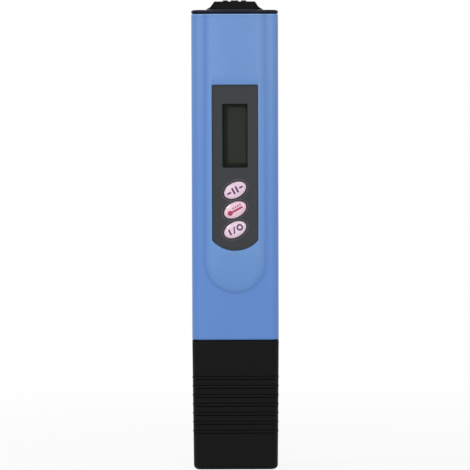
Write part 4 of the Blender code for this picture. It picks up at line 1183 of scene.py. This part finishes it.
def make_pocket_clip():
    """A hump with flared flanks and three ridges, bent over the back edge into a tapered sprung blade."""
    outer = CLIP_HIGH.y
    inner = outer - BLADE_THICK
    side = [
        (HUMP_TOE, CLIP_SOLE, 0),
        (HUMP_BROW, HUMP_TOP, HUMP_BROW_ROUND),
        (outer, HUMP_TOP, HUMP_BACK_ROUND),
    ]
    side += [(outer - y, CLIP_TIP + z, rounding) for y, z, rounding in BLADE_OUTER]
    toe, *upper = [(inner - y, CLIP_TIP + z, rounding) for y, z, rounding in (BLADE_TOE, *BLADE_INNER)]
    side += [toe, HEEL, *upper, (inner, CLIP_SOLE, BLADE_ROOT_ROUND)]
    foot = HUMP_FLANK[-1][0]
    flank = mirrored([(HUMP_HALF, HUMP_TOP - HUMP_FLANK_DROP, 0), *HUMP_FLANK, (foot, CLIP_SOLE, 0)])
    ridges = []
    for x, half in HUMP_RIDGES:
        low = (x - half, HUMP_RIDGE_FRONT, HUMP_TOP - HUMP_RIDGE_ROOT)
        ridges.append(block(low, (x + half, HUMP_RIDGE_BACK, CLIP_HIGH.z)))
    steps = [("INTERSECT", drawn_block(mirrored(BLADE_WIDTH), DEEP, FRONT_FACE, 2 * outer))]
    steps += joins(
        drawn_block(flank, DEEP, HUMP_FLANK_FRONT, BACK_FACE - WALL),
        *ridges,
        clip_peg(0, PEG_BOTTOM, CLIP_SOLE + PEG_OVERLAP),
    )
    bm = combine(drawn_block(side, ACROSS, -HALF_WIDE, HALF_WIDE), steps)
    bmesh.ops.recalc_face_normals(bm, faces=bm.faces)
    edges = sharp_edges(bm, lambda middle: middle.z > CLIP_SOLE + TINY or middle.y > BACK_FACE)
    soften(bm, [edge for edge in edges if edge.is_convex], CLIP_EDGE)
    piece("clip_moulding", bm, CLIP_BLACK, "battery_drawer", "black_plastic", "pocket_clip")


# Cap


def cap_ring(bm, z, inset):
    """The cap's section at a height: it tapers a little towards its closed end."""
    rise = z / CAP_TOP
    sizes = [foot + (mouth - foot) * rise - 2 * inset for foot, mouth in (CAP_WIDE, CAP_DEEP)]
    return slab_ring(bm, *sizes, CORNER - inset, z)


def rib_line():
    """(height from the middle, inset) up over one grip rib: a notch, the rounded rib and another notch."""
    outer = CAP_RIB_HALF + CAP_NOTCH_WIDE
    notch = [(outer - CAP_NOTCH_WIDE * share, CAP_NOTCH_DEEP * deep) for share, deep in NOTCH_LINE]
    rib = []
    for i in range(1, CAP_RIB_STEPS):
        share = 2 * i / CAP_RIB_STEPS - 1
        rib.append((CAP_RIB_HALF * share, -CAP_RIB_RISE * (1 - abs(share) ** 3)))
    return [(-height, inset) for height, inset in notch] + rib + notch[::-1]


def make_probe_cap():
    """A tapered cap with grip ribs between notches all round, a rounded closed end and an even wall."""
    turns = [math.pi / 2 * i / CAP_EDGE_STEPS for i in range(CAP_EDGE_STEPS + 1)]
    levels = [(CAP_EDGE * (1 - math.cos(turn)), CAP_EDGE * (1 - math.sin(turn))) for turn in turns]
    for i in reversed(range(CAP_RIBS)):
        middle = CAP_RIB_TOP - CAP_RIB_PITCH * i
        levels += [(middle + height, inset) for height, inset in rib_line()]
    levels.append((CAP_TOP, 0))
    bm = bmesh.new()
    skin(bm, [cap_ring(bm, z, inset) for z, inset in levels])
    inside = bmesh.new()
    foot = CAP_FLOOR + CAP_FLOOR_EDGE
    inner = [(CAP_FLOOR, WALL + CAP_FLOOR_EDGE), (foot, WALL), (CAP_TOP + OVERRUN, WALL)]
    skin(inside, [cap_ring(inside, z, inset) for z, inset in inner])
    bm = combine(bm, cuts(inside))
    soften(bm, sharp_edges(bm, lambda middle: middle.z > CAP_TOP - TINY), RIM_EDGE)
    piece("cap_moulding", bm, BLACK, "cap", "black_plastic", "probe_cap")


# Probe


def slab(section, bottom, top):
    width, depth, corner = section
    return rounded_block((-width / 2, -depth / 2, bottom), (width / 2, depth / 2, top), UP, corner)


def probe_groove(level):
    """A frame that cuts a groove round the probe's insert."""
    half = GROOVE_TALL / 2
    width, depth, corner = PROBE_INSERT
    core = (width - 2 * GROOVE_DEEP, depth - 2 * GROOVE_DEEP, corner - GROOVE_DEEP)
    inside = slab(core, level - GROOVE_TALL, level + GROOVE_TALL)
    return combine(wide_block(level - half, level + half), cuts(inside))


def probe_bore(node, radius, bottom):
    """An upright hole for a pin or the sensor, open to the wiring space."""
    low, high = corners(node)
    top = WIRING_FLOOR + WALL
    place = Matrix.Translation(((low.x + high.x) / 2, 0, (bottom + top) / 2))
    sizes = {"radius1": radius, "radius2": radius, "depth": top - bottom}
    bm = bmesh.new()
    bmesh.ops.create_cone(bm, cap_ends=True, segments=BORE_STEPS, matrix=place, **sizes)
    return bm


def make_probe_body():
    """The probe moulding: an insert held in the case, a neck for the cap and a tip with an open well."""
    tip, neck, insert = (Vector(section) for section in (PROBE_TIP, PROBE_NECK, PROBE_INSERT))
    line = []
    for i in range(PROBE_STEPS + 1):
        turn = math.pi / 2 * i / PROBE_STEPS
        drawn = TIP_EDGE * (1 - math.sin(turn))
        line.append((PROBE_LOW.z + TIP_EDGE * (1 - math.cos(turn)), tip - Vector((2, 2, 1)) * drawn))
    for i in range(PROBE_STEPS + 1):
        share = i / PROBE_STEPS
        level = TIP_TOP + (NECK_BOTTOM - TIP_TOP) * share
        line.append((level, tip.lerp(neck, share * share * (3 - 2 * share))))
    line += [(NECK_TOP, neck), (NECK_TOP + TIP_EDGE, insert), (PROBE_HIGH.z, insert)]
    bm = bmesh.new()
    skin(bm, [slab_ring(bm, *section, z) for z, section in line])
    below = PROBE_LOW.z - OVERRUN
    notch = mirrored([(WELL_NOTCH, below, 0), (WELL_NOTCH, WELL_NOTCH_TOP, WELL_NOTCH_ROUND)])
    steps = cuts(
        *(probe_groove(level) for level in GROOVE_LEVELS),
        slab(PROBE_WELL, below, WELL_ROOF),
        drawn_block(notch, DEEP, -tip.y, tip.y),
        slab(PROBE_WIRING, WIRING_FLOOR, PROBE_HIGH.z + OVERRUN),
        *(probe_bore(f"electrode_{side}", PIN_BORE, WELL_ROOF - WALL) for side in ("left", "right")),
        probe_bore("thermistor", SENSOR_BORE, corners("thermistor")[0].z - 2 * SEAT_GAP),
    )
    bm = combine(bm, steps)
    piece("probe_moulding", bm, PROBE_BLACK, "case", "black_plastic", "probe_body")


make_front_shell()
make_rear_shell()
make_front_panel()
make_lcd_film()
make_display_surround()
for key_name, key_level in zip(KEYS, KEY_LEVELS):
    make_key(key_name, key_level)
make_battery_cover()
make_pocket_clip()
make_probe_cap()
make_probe_body()


# Studio


def shown(nodes):
    """1 where the camera, gloss or clear plastic looks, and 0 for light on its way to a surface."""
    rays = ("Is Camera Ray", "Is Glossy Ray", "Is Transmission Ray")
    camera, gloss, clear = (nodes.add("ShaderNodeLightPath", {}, {}, ray) for ray in rays)
    return greater(greater(camera, gloss), clear)


def make_floor():
    """A pale round floor that fades into the white background away from the pen."""
    bm = bmesh.new()
    bmesh.ops.create_circle(bm, cap_ends=True, segments=FLOOR_STEPS, radius=FLOOR_RADIUS)
    floor = new_object("floor", bm)
    material = bpy.data.materials.new("floor_white")
    material.use_nodes = True
    tree = material.node_tree
    tree.nodes.remove(tree.nodes["Principled BSDF"])
    nodes = Nodes(tree)
    place = nodes.add("ShaderNodeTexCoord", {}, {}, "Object")
    away = nodes.add("ShaderNodeVectorMath", {"operation": "LENGTH"}, {0: place}, "Value")
    share = shown(nodes) * (ramp(away, FADE_START, FADE_WIDE) * FLOOR_SHADE + (1 - FLOOR_SHADE))
    paper = nodes.add("ShaderNodeBsdfDiffuse", {}, {"Color": FLOOR_GREY})
    white = nodes.add("ShaderNodeEmission", {}, {"Strength": 1.0})
    mixed = nodes.add("ShaderNodeMixShader", {}, {0: share, 1: paper, 2: white})
    tree.links.new(mixed.socket, tree.nodes["Material Output"].inputs["Surface"])
    floor.data.materials.append(material)


def make_world():
    """White where it is seen, and a soft even light for everything else."""
    world = bpy.data.worlds.new("studio")
    world.use_nodes = True
    bpy.context.scene.world = world
    tree = world.node_tree
    nodes = Nodes(tree)
    soft = nodes.add("ShaderNodeBackground", {}, {"Color": PLAIN_WHITE, "Strength": SOFT_LIGHT})
    white = nodes.add("ShaderNodeBackground", {}, {"Color": PLAIN_WHITE, "Strength": 1.0})
    mixed = nodes.add("ShaderNodeMixShader", {}, {0: shown(nodes), 1: soft, 2: white})
    tree.links.new(mixed.socket, tree.nodes["World Output"].inputs["Surface"])


def facing(place, aim):
    """The turn that points a lamp or the camera from a place at its aim."""
    return (aim - place).to_track_quat("-Z", "Y")


def make_light(name, place, size, power):
    lamp = bpy.data.lights.new(name, "AREA")
    lamp.shape = "DISK"
    lamp.size = size
    lamp.energy = power
    holder = bpy.data.objects.new(name, lamp)
    holder.location = place
    holder.rotation_euler = facing(Vector(place), MIDDLE).to_euler()
    holder.visible_camera = False
    bpy.context.scene.collection.objects.link(holder)


def make_camera():
    """In front of the pen, a little above its middle and looking slightly down."""
    lens = bpy.data.cameras.new("camera")
    lens.sensor_width = CAMERA_SENSOR
    lens.lens = CAMERA_LENS
    lens.clip_start, lens.clip_end = CAMERA_CLIP
    camera = bpy.data.objects.new("camera", lens)
    turn = facing(CAMERA_EYE, CAMERA_AIM).to_matrix().to_4x4()
    camera.matrix_world = Matrix.Translation(CAMERA_EYE) @ turn @ Matrix.Rotation(CAMERA_ROLL, 4, "Z")
    bpy.context.scene.collection.objects.link(camera)
    bpy.context.scene.camera = camera


make_floor()
make_world()
for lamp_name, lamp_values in LAMPS.items():
    make_light(lamp_name, *lamp_values)
make_camera()

bpy.context.scene.view_settings.view_transform = "Standard"
